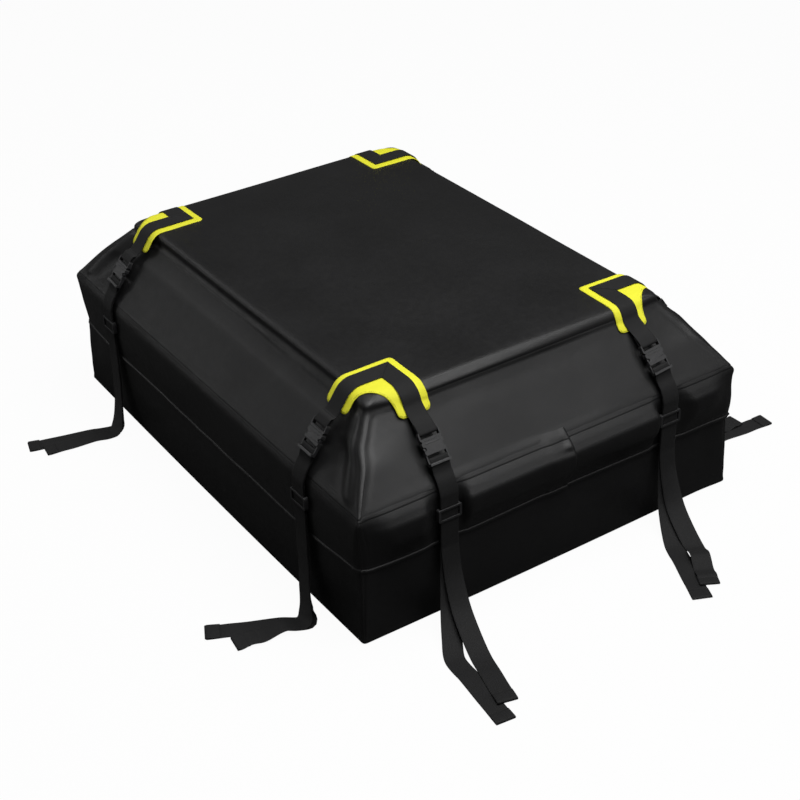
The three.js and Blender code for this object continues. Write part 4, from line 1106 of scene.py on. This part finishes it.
def webbing_arm(strap, signs, over_side):
    """Webbing from the corner of the L over the rail and down to its loop in the plug."""
    f = frames_of(strap)
    side = f["side"]
    front = side % 2 == 0
    line = END_X if front else SIDE_Y
    start = (SIDE_Y if front else END_X) - WEB / 2
    edge = (TOP_LENGTH if front else TOP_WIDTH) / 2 - TURN_IN[1 if front else 0]
    stretch = edge + (58 if front else 54)
    lift = 3.0 + (0.9 if over_side else 0)

    def unfolded(a, s):
        return (signs[0] * (line + a), signs[1] * s) if front else (signs[0] * s, signs[1] * (line + a))

    centre = [on_bag(*unfolded(0, s), lift)[0] for s in np.arange(start, stretch - 8, 4)]
    round_bar = BAR + GAP + THICK / 2
    buckle = f["buckle"]
    length = f["length"]
    loop_down = [put(buckle, 0, length - 60, 6.5), put(buckle, 0, PLUG_BAR + 16, STAND_OFF + round_bar - 3.4)]
    bar = [put(buckle, 0, y, z) for y, z in turn_points(PLUG_BAR, STAND_OFF, round_bar, 96, 270, 9)]
    back = [put(buckle, 0, PLUG_BAR + 9, STAND_OFF - round_bar - 1.2),
            put(buckle, 0, PLUG_BAR + 22, STAND_OFF - round_bar - 3.2)]
    lower = curve_through([centre[-6], centre[-3], centre[-1]] + loop_down + [bar[0]], 4)
    cut = int(np.argmin(np.linalg.norm(lower - np.array(centre[-1]), axis=1)))
    end = curve_through([bar[-1]] + back, 4)[1:]
    path = np.vstack([[tuple(c) for c in centre], lower[cut + 1:-1], bar, end])
    level = direction(f["wall"], 1, 0, 0)
    lean = direction(buckle, 1, 0, 0)
    s = lengths(path)
    top_run = s[len(centre) - 1]
    blend = ease(s, top_run - 20, top_run + 30)[:, None]
    across = level * (1 - blend) + lean * blend
    corner_side = np.sign(level @ np.array([signs[0], signs[1], 0.0]))

    def mitre(dist, a):
        """Slants the first rows, so that the two arms meet along the corner's diagonal."""
        want = (a * corner_side + 1) / 2 * WEB
        return np.where(dist[:, None] < WEB, want[None] * (1 - dist[:, None] / WEB), 0)

    obj, total = ribbon_object(f"corner_arm_{strap}", path, across, start_cut=mitre)
    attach(obj, "bag")
    return obj


CORNERS = {"front_left": ((-1, -1), ("front_left", "left_front")),
           "front_right": ((1, -1), ("front_right", "right_front")),
           "back_right": ((1, 1), ("back_right", "right_back")),
           "back_left": ((-1, 1), ("back_left", "left_back"))}
for corner, (signs, pair) in CORNERS.items():
    patch_loop = corner_patch(corner, signs)
    arms = [webbing_arm(strap, signs, i == 1) for i, strap in enumerate(pair)]
    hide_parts(f"corner_webbing_{corner}")

# ---- stitching


def under_strap(point):
    """Whether a point of a wall lies behind a hanging strap."""
    for name, (_, _, lean) in STRAPS.items():
        x, y, _ = frames_of(name)["wall"].inverted() @ Vector(point)
        if abs(x - lean) < 27 and abs(y) < 60:
            return True
    return False


def stitch_row(name, points, normals, closed=False, pitch=3.4, length=2.5):
    """A row of thread stitches lying on a surface, each a short flat-bottomed bead."""
    pts = np.asarray(points, float)
    ups = np.asarray(normals, float)
    if closed:
        pts, ups = np.vstack([pts, pts[:1]]), np.vstack([ups, ups[:1]])
    s = lengths(pts)
    centres = np.arange(pitch / 2, s[-1] - pitch / 3, pitch)

    def at(table, place):
        return np.stack([np.interp(place, s, table[:, k]) for k in range(3)], axis=1)

    if not closed:
        centres = np.array([c for c, p in zip(centres, at(pts, centres)) if not under_strap(p)])
    middle, up = at(pts, centres), at(ups, centres)
    along = at(pts, centres + 0.8) - at(pts, centres - 0.8)
    along /= np.linalg.norm(along, axis=1, keepdims=True)
    up -= (up * along).sum(1, keepdims=True) * along
    up /= np.linalg.norm(up, axis=1, keepdims=True)
    across = np.cross(along, up)
    shape = [(-0.5, 0.12, -0.1), (-0.3, 0.34, -0.1), (0.3, 0.34, -0.1), (0.5, 0.12, -0.1), (0.5, -0.12, -0.1),
             (0.3, -0.34, -0.1), (-0.3, -0.34, -0.1), (-0.5, -0.12, -0.1), (-0.28, 0, 0.34), (0.28, 0, 0.34)]
    corners = [middle + along * (a * length) + across * b + up * c for a, b, c in shape]
    vertices = np.stack(corners, axis=1).reshape(-1, 3)
    skin = [(7, 6, 5, 4, 3, 2, 1, 0), (1, 2, 9, 8), (5, 6, 8, 9), (2, 3, 9), (3, 4, 9), (4, 5, 9),
            (6, 7, 8), (7, 0, 8), (0, 1, 8)]
    faces = [tuple(10 * i + v for v in f) for i in range(len(centres)) for f in skin]
    obj = new_object(name, vertices, faces, np.zeros((sum(len(f) for f in faces), 2)))
    obj.data.materials.append(THREAD)
    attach(obj, "bag")


def inset_loop(loop, inset):
    """A closed loop of the plane, moved in by a distance."""
    p = resample(np.vstack([loop, loop[:1]]), 2.5)[:-1]
    tangent = np.roll(p, -1, axis=0) - np.roll(p, 1, axis=0)
    tangent /= np.linalg.norm(tangent, axis=1, keepdims=True)
    area = (p[:, 0] * np.roll(p[:, 1], -1) - np.roll(p[:, 0], -1) * p[:, 1]).sum()
    return p + np.column_stack([-tangent[:, 1], tangent[:, 0]]) * inset * np.sign(area)


for corner, (signs, pair) in CORNERS.items():
    spots = [on_bag(signs[0] * x, signs[1] * y, 1.15) for x, y in inset_loop(np.array(patch_loop), 3.2)]
    stitch_row(f"patch_stitches_{corner}", [tuple(a) for a, _ in spots], [tuple(n) for _, n in spots], True)
flap_normals = normals_of(flap_grid, wrap=False)
front_rows = int(np.argmin(flap_rows[:, 3]))
for label, height in (("seam", 273.2), ("hem", FLAP_LOW + 11)):
    row = int(np.argmin(np.abs(flap_rows[:front_rows, 3] - height)))
    stitch_row(f"flap_{label}_stitches", flap_grid[row], flap_normals[row], pitch=3.8, length=2.8)

# ---- carried-over nodes


def finish_node(name, mat, bevel=None):
    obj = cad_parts[name]
    obj.data.materials.clear()
    obj.data.materials.append(mat)
    if bevel:
        weld = obj.modifiers.new("weld", "WELD")
        weld.merge_threshold = 0.00002
        soft = obj.modifiers.new("bevel", "BEVEL")
        soft.width = bevel * MM
        soft.segments = 2
        soft.limit_method = "ANGLE"
        soft.angle_limit = math.radians(38)
        soft.use_clamp_overlap = True


for strap in STRAPS:
    finish_node(f"plug_{strap}", ACETAL, 0.5)
    finish_node(f"socket_{strap}", ACETAL, 0.5)
    finish_node(f"tri_glide_{strap}", ACETAL, 0.95)
for hand in ("left", "right"):
    finish_node(f"zip_slider_{hand}", ZINC, 0.25)
    finish_node(f"zip_pull_{hand}", ZINC, 0.25)
finish_node("zip_chain", COIL)
finish_node("back_strip", COATED)

bpy.context.view_layer.update()
